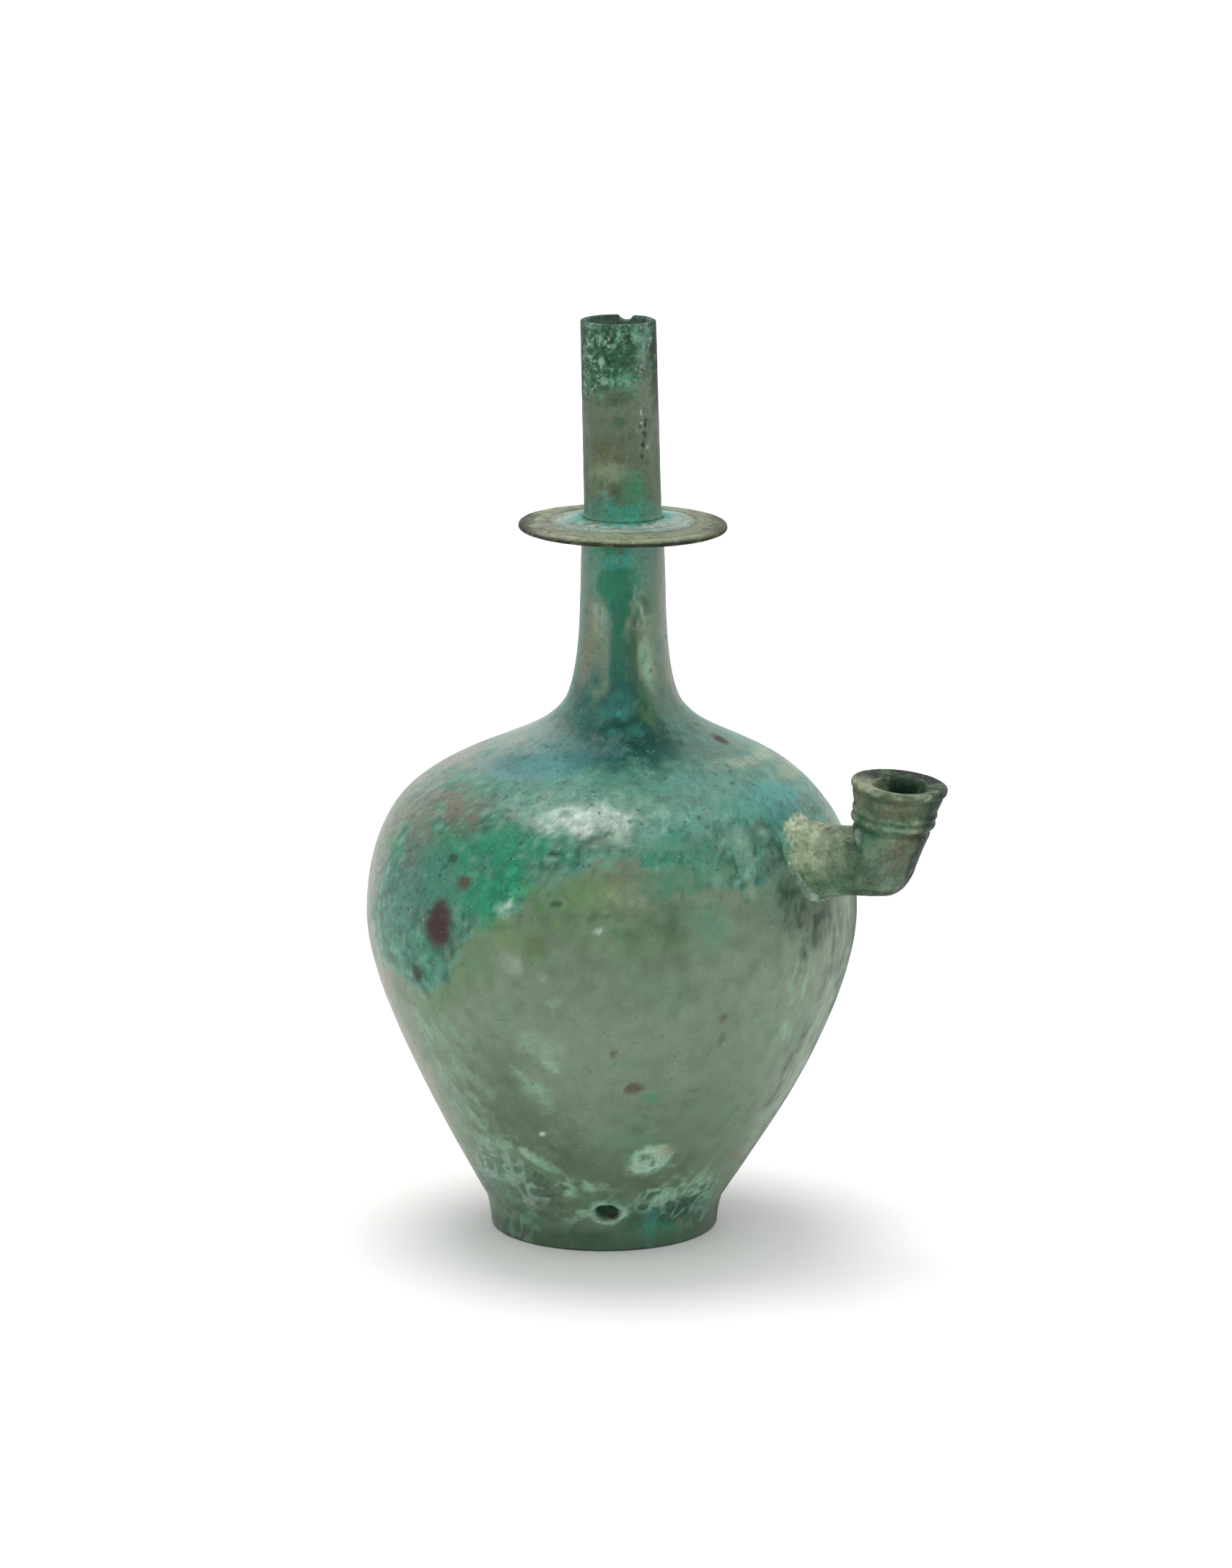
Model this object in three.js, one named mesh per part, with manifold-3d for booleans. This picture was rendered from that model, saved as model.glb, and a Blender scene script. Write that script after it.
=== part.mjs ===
// Bronze kundika: an ovoid water bottle with a disc foot, a tall neck carrying a flange disc and
// a mouth tube, and a cup-shaped filling spout on its shoulder. Millimetres, +Z up. The origin is
// the centre of the foot on the standing plane, and the spout points along +X.
import * as THREE from 'three';
import { mergeVertices } from 'three/addons/utils/BufferGeometryUtils.js';
import Module from 'manifold-3d';

const degrees = THREE.MathUtils.degToRad;

// Body: radii of the outer wall, and the heights above the standing plane where they are reached
const FOOT_RADIUS = 31;
const FOOT_EDGE = 0.9;
const WAIST_RADIUS = 32.5;
const WAIST_HEIGHT = 8.4;
const BELLY_RADIUS = 66.9;
const BELLY_HEIGHT = 88.7;
const SHOULDER_RADIUS = 16.4;
const SHOULDER_HEIGHT = 146.5;
const NECK_ROOT_RADIUS = 11.9;
const NECK_ROOT_HEIGHT = 171.8;
const NECK_TOP_RADIUS = 11.2;
const NECK_TOP_HEIGHT = 195.7;

// Body: angles from upright at which the wall passes those places, and the reach of its curves
const FLARE_ANGLE = degrees(30.5);
const FLARE_HANDLE = 25;
const BELLY_HANDLE_BELOW = 22.8;
const BELLY_HANDLE_ABOVE = 46.7;
const SHOULDER_ANGLE = degrees(35.5);
const SHOULDER_HANDLE_BELOW = 19.1;
const SHOULDER_HANDLE_ABOVE = 5.4;
const NECK_HANDLE = 9.5;

// Body: thickness of the cast wall and of the floor, and the flat of the floor inside
const WALL = 2.1;
const FLOOR = 3.5;
const FLOOR_RADIUS = 27;

// Handmade lean: how far the axis has moved towards the spout at the belly, neck and mouth
const BELLY_LEAN = 2.4;
const NECK_LEAN = 5.9;
const MOUTH_LEAN = 4.4;
const LOWER_LEAN_END = 52;
const UPPER_LEAN_START = 118;
const UPPER_LEAN_END = 139;

// Flange disc on the top of the neck, sloping down from its hub, with a step ring in its face
const DISC_RADIUS = 28.2;
const DISC_THICKNESS = 1.6;
const DISC_HUB_RADIUS = 12.4;
const DISC_FALL = 1.9;
const DISC_STEP_RADIUS = 19.7;
const DISC_STEP = 0.3;
const DISC_BEVEL = 0.45;
const DISC_DROP = 0.36;

// Mouth tube on the disc, narrowing upwards, with a chip out of its rim
const TUBE_RADIUS = 10.5;
const TUBE_MOUTH_RADIUS = 10.2;
const TUBE_LENGTH = 53;
const TUBE_WALL = 1.8;
const TUBE_EDGE = 0.35;
const CHIP_WIDTH = 4.6;
const CHIP_DEPTH = 1.3;
const CHIP_BEARING = degrees(106);

// Spout: a rising arm with a flared root, an elbow that is a ball drawn in on its outer side, and
// a cup that leans outwards
const SPOUT_HEIGHT = 109.6;
const SPOUT_REACH = 20.9;
const ARM_RISE = degrees(5);
const ARM_RADIUS = 9.4;
const SPOUT_BORE_RADIUS = 6;
const ROOT_BORE_RADIUS = 7.2;
const ROOT_FLARE = 1.4;
const ROOT_FLARE_LENGTH = 9;
const ELBOW_TUCK = 0.78;
const RIM_LEAN = degrees(7);
const CUP_SKEW = degrees(4);
const CUP_HEIGHT = 22.3;
const CUP_RADIUS = 13;
const CUP_WALL = 2.5;
const CUP_DEPTH = 10;
const CUP_BASE_RADIUS = 11.7;
const LIP_HEIGHT = 1.6;
const LIP_UNDERCUT = 0.7;
const COLLAR_RADIUS = 11.5;
const COLLAR_HEIGHT = 5.2;
const COLLAR_GROOVE = 0.6;
const SHANK_BASE_RADIUS = 8;
const SHANK_RADIUS = 10.4;
const SHANK_HEIGHT = 9.2;
const SHANK_GROOVE = 1.6;

// Gap that parts two pieces where one is cut to the other's curve
const SEAT_GAP = 0.3;

// Facets around a full turn, and steps along each curve of the body's profile
const BODY_SEGMENTS = 48;
const SMALL_SEGMENTS = 32;
const CHIP_SEGMENTS = 24;
const CURVE_STEPS = 8;
const MERGE_TOLERANCE = 1e-4;

const TUBE_BASE_HEIGHT = NECK_TOP_HEIGHT + DISC_THICKNESS;
const BORE_RADIUS = NECK_TOP_RADIUS - WALL;

const wasm = await Module();
wasm.setup();

const bronze = {
  body: new THREE.MeshStandardMaterial({ color: 0x5b7f6c, roughness: 0.5, metalness: 0.35 }),
  disc: new THREE.MeshStandardMaterial({ color: 0x7c8a72, roughness: 0.6, metalness: 0.3 }),
  tube: new THREE.MeshStandardMaterial({ color: 0x4a6a55, roughness: 0.6, metalness: 0.3 }),
  spout: new THREE.MeshStandardMaterial({ color: 0x6b7058, roughness: 0.55, metalness: 0.35 }),
};

// Turned solid about +Z from a profile of [radius, height] pairs, listed anticlockwise
function turned(profile, segments) {
  const points = profile.map(([radius, height]) => new THREE.Vector2(radius, height));
  return new THREE.LatheGeometry(points, segments).rotateX(Math.PI / 2);
}

// Moves every vertex by a function that changes it in place
function reshaped(geometry, change) {
  const positions = geometry.attributes.position;
  const vertex = new THREE.Vector3();
  for (let i = 0; i < positions.count; i += 1) {
    vertex.fromBufferAttribute(positions, i);
    change(vertex);
    positions.setXYZ(i, vertex.x, vertex.y, vertex.z);
  }
  return geometry;
}

// Closed solid from a geometry, its doubled vertices merged and its collapsed faces dropped
function solid(geometry) {
  const bare = geometry.clone().deleteAttribute('normal').deleteAttribute('uv');
  const merged = mergeVertices(bare, MERGE_TOLERANCE);
  const corners = [];
  for (let i = 0; i < merged.index.count; i += 3) {
    const face = [0, 1, 2].map((k) => merged.index.getX(i + k));
    if (new Set(face).size === 3) corners.push(...face);
  }
  const mesh = new wasm.Mesh({
    numProp: 3,
    vertProperties: new Float32Array(merged.attributes.position.array),
    triVerts: new Uint32Array(corners),
  });
  return new wasm.Manifold(mesh);
}

// Named mesh of a solid
function piece(name, shape, material) {
  const { vertProperties, triVerts } = shape.getMesh();
  const geometry = new THREE.BufferGeometry();
  geometry.setAttribute('position', new THREE.BufferAttribute(vertProperties, 3));
  geometry.setIndex(new THREE.BufferAttribute(triVerts, 1));
  geometry.computeVertexNormals();
  const mesh = new THREE.Mesh(geometry, material);
  mesh.name = name;
  return mesh;
}

// Point at a distance from another, the way given as an angle from upright, outwards
function along(point, angle, distance) {
  return new THREE.Vector2(Math.sin(angle), Math.cos(angle)).multiplyScalar(distance).add(point);
}

// Outer wall from the waist to the top of the neck: three cubic curves and a straight neck
function wallCurve() {
  const waist = new THREE.Vector2(WAIST_RADIUS, WAIST_HEIGHT);
  const belly = new THREE.Vector2(BELLY_RADIUS, BELLY_HEIGHT);
  const shoulder = new THREE.Vector2(SHOULDER_RADIUS, SHOULDER_HEIGHT);
  const neckRoot = new THREE.Vector2(NECK_ROOT_RADIUS, NECK_ROOT_HEIGHT);
  const neckTop = new THREE.Vector2(NECK_TOP_RADIUS, NECK_TOP_HEIGHT);
  const neckAngle = Math.atan2(neckTop.x - neckRoot.x, neckTop.y - neckRoot.y);
  const lower = new THREE.CubicBezierCurve(
    waist,
    along(waist, FLARE_ANGLE, FLARE_HANDLE),
    along(belly, 0, -BELLY_HANDLE_BELOW),
    belly,
  );
  const upper = new THREE.CubicBezierCurve(
    belly,
    along(belly, 0, BELLY_HANDLE_ABOVE),
    along(shoulder, -SHOULDER_ANGLE, -SHOULDER_HANDLE_BELOW),
    shoulder,
  );
  const throat = new THREE.CubicBezierCurve(
    shoulder,
    along(shoulder, -SHOULDER_ANGLE, SHOULDER_HANDLE_ABOVE),
    along(neckRoot, neckAngle, -NECK_HANDLE),
    neckRoot,
  );
  const bends = [lower, upper, throat].flatMap((curve) => curve.getPoints(CURVE_STEPS).slice(1));
  return [waist, ...bends, neckTop];
}

// The same wall moved off its surface by a distance, outwards where that is positive
function offsetWall(wall, distance) {
  return wall.map((point, i) => {
    const before = wall[Math.max(i - 1, 0)];
    const after = wall[Math.min(i + 1, wall.length - 1)];
    const run = after.clone().sub(before).normalize();
    return new THREE.Vector2(point.x + run.y * distance, point.y - run.x * distance);
  });
}

// Radius of the outer wall at a height, between two points of its curve
function wallRadius(wall, height) {
  const next = wall.findIndex((point) => point.y >= height);
  const [low, high] = [wall[next - 1], wall[next]];
  return THREE.MathUtils.mapLinear(height, low.y, high.y, low.x, high.x);
}

// How far the axis of the body has moved along +X at a height
function bodyLean(height) {
  const { smoothstep } = THREE.MathUtils;
  return BELLY_LEAN * smoothstep(height, 0, LOWER_LEAN_END)
    + (NECK_LEAN - BELLY_LEAN) * smoothstep(height, UPPER_LEAN_START, UPPER_LEAN_END);
}

function leanBody(vertex) {
  vertex.x += bodyLean(vertex.z);
}

// Hollow body with its foot, neck and the hole behind the spout
function makeBody(wall) {
  const outside = wall.map((point) => [point.x, point.y]);
  const inside = offsetWall(wall, -WALL).map((point) => [point.x, point.y]).reverse();
  const profile = [
    [0, 0],
    [FOOT_RADIUS - FOOT_EDGE, 0],
    [FOOT_RADIUS, FOOT_EDGE],
    ...outside,
    [BORE_RADIUS, NECK_TOP_HEIGHT],
    ...inside.slice(1),
    [FLOOR_RADIUS, FLOOR],
    [0, FLOOR],
  ];
  const shell = solid(reshaped(turned(profile, BODY_SEGMENTS), leanBody));
  return shell.subtract(spoutPassage(wall));
}

// Sloping disc with a level hub, whose rim drops further on the side of the spout
function makeDisc() {
  const fall = (radius) => DISC_FALL * (radius - DISC_HUB_RADIUS) / (DISC_RADIUS - DISC_HUB_RADIUS);
  const step = DISC_STEP_RADIUS + DISC_STEP;
  const profile = [
    [BORE_RADIUS, 0],
    [DISC_HUB_RADIUS, 0],
    [DISC_RADIUS - DISC_BEVEL, -DISC_FALL],
    [DISC_RADIUS, DISC_BEVEL - DISC_FALL],
    [DISC_RADIUS, DISC_THICKNESS - DISC_BEVEL - DISC_FALL],
    [DISC_RADIUS - DISC_BEVEL, DISC_THICKNESS - DISC_FALL],
    [step, DISC_THICKNESS - fall(step)],
    [DISC_STEP_RADIUS, DISC_THICKNESS - fall(DISC_STEP_RADIUS) - DISC_STEP],
    [DISC_HUB_RADIUS, DISC_THICKNESS],
    [BORE_RADIUS, DISC_THICKNESS],
    [BORE_RADIUS, 0],
  ];
  const drop = (vertex) => {
    const radius = Math.hypot(vertex.x, vertex.y);
    const share = Math.max(radius - DISC_HUB_RADIUS, 0) / (DISC_RADIUS - DISC_HUB_RADIUS);
    vertex.z -= DISC_DROP * share * (vertex.x / radius);
  };
  const disc = reshaped(turned(profile, BODY_SEGMENTS), drop);
  return solid(disc.translate(NECK_LEAN, 0, NECK_TOP_HEIGHT));
}

// Mouth tube, its axis leaning back from the spout, with a shallow round chip in the rim
function makeTube() {
  const profile = [
    [TUBE_RADIUS - TUBE_WALL, 0],
    [TUBE_RADIUS, 0],
    [TUBE_MOUTH_RADIUS, TUBE_LENGTH - TUBE_EDGE],
    [TUBE_MOUTH_RADIUS - TUBE_EDGE, TUBE_LENGTH],
    [TUBE_MOUTH_RADIUS - TUBE_WALL + TUBE_EDGE, TUBE_LENGTH],
    [TUBE_MOUTH_RADIUS - TUBE_WALL, TUBE_LENGTH - TUBE_EDGE],
    [TUBE_RADIUS - TUBE_WALL, 0],
  ];
  const lean = (vertex) => {
    vertex.x += THREE.MathUtils.lerp(NECK_LEAN, MOUTH_LEAN, vertex.z / TUBE_LENGTH);
  };
  const tube = reshaped(turned(profile, SMALL_SEGMENTS), lean);
  const chipRadius = (CHIP_WIDTH ** 2 / 4 + CHIP_DEPTH ** 2) / (2 * CHIP_DEPTH);
  const chip = new THREE.CylinderGeometry(chipRadius, chipRadius, 2 * TUBE_MOUTH_RADIUS, CHIP_SEGMENTS)
    .rotateZ(Math.PI / 2)
    .translate(TUBE_MOUTH_RADIUS, 0, TUBE_LENGTH + chipRadius - CHIP_DEPTH)
    .rotateZ(CHIP_BEARING)
    .translate(MOUTH_LEAN, 0, 0);
  return solid(tube).subtract(solid(chip)).translate(0, 0, TUBE_BASE_HEIGHT);
}

// Places of the spout: the vessel's axis and the elbow's centre, and the arm's length between them
function spoutPlaces(wall) {
  const axis = bodyLean(SPOUT_HEIGHT);
  const root = axis + wallRadius(wall, SPOUT_HEIGHT);
  const elbow = new THREE.Vector3(root + SPOUT_REACH, 0, SPOUT_HEIGHT + SPOUT_REACH * Math.tan(ARM_RISE));
  const armLength = (elbow.x - axis) / Math.cos(ARM_RISE);
  return { elbow, armLength, rootAt: armLength - SPOUT_REACH / Math.cos(ARM_RISE) };
}

// Arm, elbow and leaning cup, joined, from two profiles along their axes
function elbowed({ elbow, armLength }, armProfile, ballRadius, cupProfile) {
  const skew = (vertex) => {
    vertex.x += vertex.z * Math.tan(CUP_SKEW);
  };
  const arm = turned(armProfile, SMALL_SEGMENTS).translate(0, 0, -armLength)
    .rotateY(Math.PI / 2 - ARM_RISE);
  const tuck = (vertex) => {
    if (vertex.x > 0) vertex.x *= ELBOW_TUCK;
  };
  const sphere = new THREE.SphereGeometry(ballRadius, SMALL_SEGMENTS, SMALL_SEGMENTS / 2);
  const ball = reshaped(sphere.rotateZ(ARM_RISE), tuck).rotateY(-ARM_RISE);
  const cup = reshaped(turned(cupProfile, SMALL_SEGMENTS), skew).rotateY(RIM_LEAN);
  const [first, ...others] = [arm, ball, cup]
    .map((geometry) => solid(geometry.translate(elbow.x, elbow.y, elbow.z)));
  return others.reduce((joined, other) => joined.add(other), first);
}

// The way that water takes through the spout and the wall, as a solid to cut away
function spoutPassage(wall) {
  const places = spoutPlaces(wall);
  const mouth = CUP_RADIUS - CUP_WALL;
  const above = CUP_HEIGHT + LIP_HEIGHT;
  const arm = [
    [0, 0],
    [ROOT_BORE_RADIUS, 0],
    [ROOT_BORE_RADIUS, places.rootAt + ROOT_FLARE_LENGTH],
    [SPOUT_BORE_RADIUS, places.armLength],
    [0, places.armLength],
  ];
  const cup = [
    [0, 0],
    [SPOUT_BORE_RADIUS, 0],
    [SPOUT_BORE_RADIUS, CUP_HEIGHT - CUP_DEPTH],
    [mouth, CUP_HEIGHT - LIP_HEIGHT],
    [mouth, above],
    [0, above],
  ];
  return elbowed(places, arm, SPOUT_BORE_RADIUS, cup);
}

// Spout, its root cut to the curve of the body
function makeSpout(wall) {
  const places = spoutPlaces(wall);
  const arm = [
    [0, 0],
    [ARM_RADIUS + ROOT_FLARE, 0],
    [ARM_RADIUS + ROOT_FLARE, places.rootAt],
    [ARM_RADIUS, places.rootAt + ROOT_FLARE_LENGTH],
    [ARM_RADIUS, places.armLength],
    [0, places.armLength],
  ];
  const collarBase = SHANK_HEIGHT + SHANK_GROOVE;
  const ring = COLLAR_HEIGHT / 2;
  const collarRing = (base) => [
    [COLLAR_RADIUS - COLLAR_GROOVE, base],
    [COLLAR_RADIUS, base + ring / 3],
    [COLLAR_RADIUS, base + ring * 2 / 3],
    [COLLAR_RADIUS - COLLAR_GROOVE, base + ring],
  ];
  const lipBase = CUP_HEIGHT - LIP_HEIGHT;
  const ease = LIP_UNDERCUT / 2;
  const cup = [
    [0, 0],
    [SHANK_BASE_RADIUS, 0],
    [SHANK_RADIUS, SHANK_HEIGHT],
    [SHANK_RADIUS - COLLAR_GROOVE, collarBase - COLLAR_GROOVE],
    ...collarRing(collarBase),
    ...collarRing(collarBase + ring).slice(1),
    [CUP_BASE_RADIUS, collarBase + COLLAR_HEIGHT + ease],
    [CUP_RADIUS - LIP_UNDERCUT, lipBase - ease],
    [CUP_RADIUS, lipBase],
    [CUP_RADIUS, CUP_HEIGHT - ease],
    [CUP_RADIUS - ease, CUP_HEIGHT],
    [0, CUP_HEIGHT],
  ];
  const seat = offsetWall(wall, SEAT_GAP).map((point) => [point.x, point.y]);
  const envelope = [[0, seat[0][1]], ...seat, [0, seat[seat.length - 1][1]]];
  const body = solid(reshaped(turned(envelope, BODY_SEGMENTS), leanBody));
  return elbowed(places, arm, ARM_RADIUS, cup).subtract(spoutPassage(wall)).subtract(body);
}

const wall = wallCurve();
const kundika = new THREE.Group();
kundika.add(
  piece('body', makeBody(wall), bronze.body),
  piece('flange_disc', makeDisc(), bronze.disc),
  piece('mouth_tube', makeTube(), bronze.tube),
  piece('side_spout', makeSpout(wall), bronze.spout),
);

export default kundika;
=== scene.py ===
"""Bronze kundika: the visual model of the vessel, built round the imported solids. Sizes below are in
millimetres and are turned to metres as each mesh is made. +Z is up, and the spout points along +X."""
import math

import bpy
import numpy as np
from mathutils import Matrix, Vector


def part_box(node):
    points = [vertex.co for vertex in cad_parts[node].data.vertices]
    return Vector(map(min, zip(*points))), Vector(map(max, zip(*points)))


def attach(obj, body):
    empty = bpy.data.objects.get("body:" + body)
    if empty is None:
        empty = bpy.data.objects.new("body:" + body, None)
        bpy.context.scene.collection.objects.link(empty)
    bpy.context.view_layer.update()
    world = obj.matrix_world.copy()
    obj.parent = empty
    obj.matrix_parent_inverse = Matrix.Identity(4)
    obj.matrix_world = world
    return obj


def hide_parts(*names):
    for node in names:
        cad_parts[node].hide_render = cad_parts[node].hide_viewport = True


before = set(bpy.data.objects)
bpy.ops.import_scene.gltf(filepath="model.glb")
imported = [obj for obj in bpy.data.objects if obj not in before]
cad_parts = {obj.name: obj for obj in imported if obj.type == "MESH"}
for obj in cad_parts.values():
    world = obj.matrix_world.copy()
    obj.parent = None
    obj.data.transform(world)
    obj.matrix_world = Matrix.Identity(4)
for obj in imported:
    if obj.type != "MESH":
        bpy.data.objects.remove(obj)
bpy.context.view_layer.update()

MM = 0.001

# ---- sizes shared with the solids -------------------------------------------------------------
FOOT_RADIUS, FOOT_EDGE = 31.0, 0.9
WAIST, BELLY = (32.5, 8.4), (66.9, 88.7)
SHOULDER, NECK_ROOT, NECK_TOP = (16.4, 146.5), (11.9, 171.8), (11.2, 195.7)
FLARE_ANGLE, FLARE_HANDLE = 30.5, 25.0
BELLY_HANDLE_BELOW, BELLY_HANDLE_ABOVE = 22.8, 46.7
SHOULDER_ANGLE, SHOULDER_HANDLE_BELOW, SHOULDER_HANDLE_ABOVE = 35.5, 19.1, 5.4
NECK_HANDLE = 9.5
WALL, FLOOR = 2.1, 3.5
BELLY_LEAN, NECK_LEAN, MOUTH_LEAN = 2.4, 5.9, 4.4
LOWER_LEAN_END, UPPER_LEAN_START, UPPER_LEAN_END = 52.0, 118.0, 139.0
DISC_RADIUS, DISC_THICKNESS, DISC_HUB_RADIUS = 28.2, 1.6, 12.4
DISC_COLUMNS, UNDER_ROWS, RIM_ROWS = 288, 16, 9
DISC_FALL, DISC_STEP_RADIUS, DISC_STEP, DISC_DROP = 1.9, 19.7, 0.3, 0.36
TUBE_RADIUS, TUBE_MOUTH_RADIUS, TUBE_LENGTH, TUBE_WALL = 10.5, 10.2, 53.0, 1.8
TUBE_BASE = NECK_TOP[1] + DISC_THICKNESS
CHIP_WIDTH, CHIP_DEPTH, CHIP_BEARING = 4.6, 1.3, 106.0
ARM_RISE, RIM_LEAN, CUP_SKEW = 5.0, 7.0, 4.0
ELBOW = np.array([86.176, 0.0, 111.429])
ARM_RADIUS, BORE_RADIUS, CUP_HEIGHT = 9.4, 6.0, 22.3
SHANK_TUCK = 0.149
ROOT_FLARE, ROOT_FLARE_LENGTH = 1.4, 9.0


# ---- shapes as whole arrays -------------------------------------------------------------------
def smoothstep(low, high, value):
    """0 below low, 1 above high, and 3t^2 - 2t^3 of the share t between them."""
    share = np.clip((value - low) / (high - low), 0.0, 1.0)
    return share * share * (3.0 - 2.0 * share)


def field(points, size, seed):
    """Smooth random field from -1 to 1 over points in space: random numbers on a lattice that is
    size apart, each point taking its cell's eight corners with smoothstep weights."""
    lattice = np.random.default_rng(seed).uniform(-1.0, 1.0, (32, 32, 32))
    place = np.asarray(points) / size
    cell = np.floor(place).astype(int)
    part = place - cell
    part = part * part * (3.0 - 2.0 * part)
    total = 0.0
    for corner in np.ndindex(2, 2, 2):
        weight = np.prod(np.where(np.array(corner) == 1, part, 1.0 - part), axis=-1)
        i, j, k = np.moveaxis((cell + corner) % 32, -1, 0)
        total = total + weight * lattice[i, j, k]
    return total


def bezier(start, first, second, end, count):
    """Cubic curve through start and end, pulled towards two handles, at even steps of t: the
    sum of the four points with weights (1-t)^3, 3t(1-t)^2, 3t^2(1-t) and t^3."""
    t = np.linspace(0.0, 1.0, count)[:, None]
    start, first, second, end = (np.array(p, float) for p in (start, first, second, end))
    return ((1 - t) ** 3 * start + 3 * t * (1 - t) ** 2 * first
            + 3 * t ** 2 * (1 - t) * second + t ** 3 * end)


def along(point, angle, distance):
    """Point at a distance from another, the way given in degrees from upright, outwards."""
    turn = math.radians(angle)
    return point[0] + distance * math.sin(turn), point[1] + distance * math.cos(turn)


def wall_curve():
    """Outer wall as [radius, height] from the foot's edge to the neck's top: a foot that widens
    to the waist, three cubic curves for the lower body, the shoulder and the throat, and a
    straight neck."""
    neck = math.degrees(math.atan2(NECK_TOP[0] - NECK_ROOT[0], NECK_TOP[1] - NECK_ROOT[1]))
    parts = [
        bezier((FOOT_RADIUS, FOOT_EDGE), (FOOT_RADIUS + 0.25, 3.2), along(WAIST, 16, -2.4), WAIST, 40),
        bezier(WAIST, along(WAIST, FLARE_ANGLE, FLARE_HANDLE), along(BELLY, 0, -BELLY_HANDLE_BELOW),
               BELLY, 300)[1:],
        bezier(BELLY, along(BELLY, 0, BELLY_HANDLE_ABOVE),
               along(SHOULDER, -SHOULDER_ANGLE, -SHOULDER_HANDLE_BELOW), SHOULDER, 300)[1:],
        bezier(SHOULDER, along(SHOULDER, -SHOULDER_ANGLE, SHOULDER_HANDLE_ABOVE),
               along(NECK_ROOT, neck, -NECK_HANDLE), NECK_ROOT, 120)[1:],
        np.linspace(NECK_ROOT, NECK_TOP, 60)[1:],
    ]
    return np.vstack(parts)


WALL_CURVE = wall_curve()
WALL_PATH = np.concatenate([[0.0], np.cumsum(np.hypot(*np.diff(WALL_CURVE, axis=0).T))])


def wall_radius(height):
    """Radius of the outer wall at each height, read off its curve."""
    return np.interp(height, WALL_CURVE[:, 1], WALL_CURVE[:, 0])


def body_lean(height):
    """How far the vessel's axis has moved along +X at each height, in two smooth steps."""
    return (BELLY_LEAN * smoothstep(0.0, LOWER_LEAN_END, height)
            + (NECK_LEAN - BELLY_LEAN) * smoothstep(UPPER_LEAN_START, UPPER_LEAN_END, height))


def resampled(curve, steps):
    """Points of a curve at even distances along it."""
    path = np.concatenate([[0.0], np.cumsum(np.hypot(*np.diff(curve, axis=0).T))])
    at = np.linspace(0.0, path[-1], steps)
    return np.stack([np.interp(at, path, curve[:, k]) for k in (0, 1)], axis=-1)


def normals_of(curve):
    """Outward unit normals of a profile that runs upwards on its outer side: the run between a
    point's neighbours, turned a quarter to the right."""
    run = np.gradient(curve, axis=0)
    run /= np.linalg.norm(run, axis=1, keepdims=True)
    return np.stack([run[:, 1], -run[:, 0]], axis=-1)


def grid_piece(name, points, ring=False, capped=False):
    """Mesh from a grid of points [row, column]: four-sided faces between neighbours, columns
    closed into a turn, rows closed too where ring is true. Where capped is true a fan of
    triangles to the middle of the first and of the last row closes each end."""
    rows, columns = points.shape[:2]
    spots = points.reshape(-1, 3)
    index = np.arange(rows * columns).reshape(rows, columns)
    beside = np.roll(index, -1, axis=1)
    if ring:
        above, above_beside = np.roll(index, -1, axis=0), np.roll(beside, -1, axis=0)
        quads = np.stack([index, beside, above_beside, above], axis=-1)
    else:
        quads = np.stack([index[:-1], beside[:-1], beside[1:], index[1:]], axis=-1)
    faces = quads.reshape(-1, 4).tolist()
    if capped:
        spots = np.vstack([spots, points[0].mean(axis=0), points[-1].mean(axis=0)])
        first, last = rows * columns, rows * columns + 1
        faces += np.stack([beside[0], index[0], np.full(columns, first)], axis=-1).tolist()
        faces += np.stack([index[-1], beside[-1], np.full(columns, last)], axis=-1).tolist()
    mesh = bpy.data.meshes.new(name)
    mesh.from_pydata((spots * MM).tolist(), [], faces)
    mesh.polygons.foreach_set("use_smooth", np.ones(len(mesh.polygons), bool))
    mesh.update()
    piece = bpy.data.objects.new(name, mesh)
    bpy.context.scene.collection.objects.link(piece)
    return piece


def points_of(piece):
    """The piece's vertices in millimetres, one row each."""
    spots = np.empty(len(piece.data.vertices) * 3)
    piece.data.vertices.foreach_get("co", spots)
    return spots.reshape(-1, 3) / MM


def turned(profile, bearings):
    """Points of a profile of [radius, height] carried round the Z axis, rows along the profile."""
    radius, height = profile[:, 0][:, None], profile[:, 1][:, None]
    return np.stack([radius * np.cos(bearings), radius * np.sin(bearings),
                     height + np.zeros_like(bearings)], axis=-1)


def round_turn(count):
    """Bearings of a full turn in even steps, anticlockwise from +X, in radians."""
    return np.arange(count) * (2.0 * np.pi / count)


# Colours and the marks that carry them
SHEEN, LIGHT = 0.03, 1.2


def tone(code):
    """Colour of a surface that looks like a six-figure sRGB code in the white room: the code's
    linear colour less the sheen, over the light that falls on an upright wall."""
    value = np.array([int(code[k:k + 2], 16) for k in (0, 2, 4)]) / 255.0
    linear = np.where(value <= 0.04045, value / 12.92, ((value + 0.055) / 1.055) ** 2.4)
    return (linear - SHEEN) / LIGHT


def held(colour):
    """A colour with each share kept above zero, as tones darker than the sheen fall below it."""
    return np.maximum(colour, 0.002)


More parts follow.
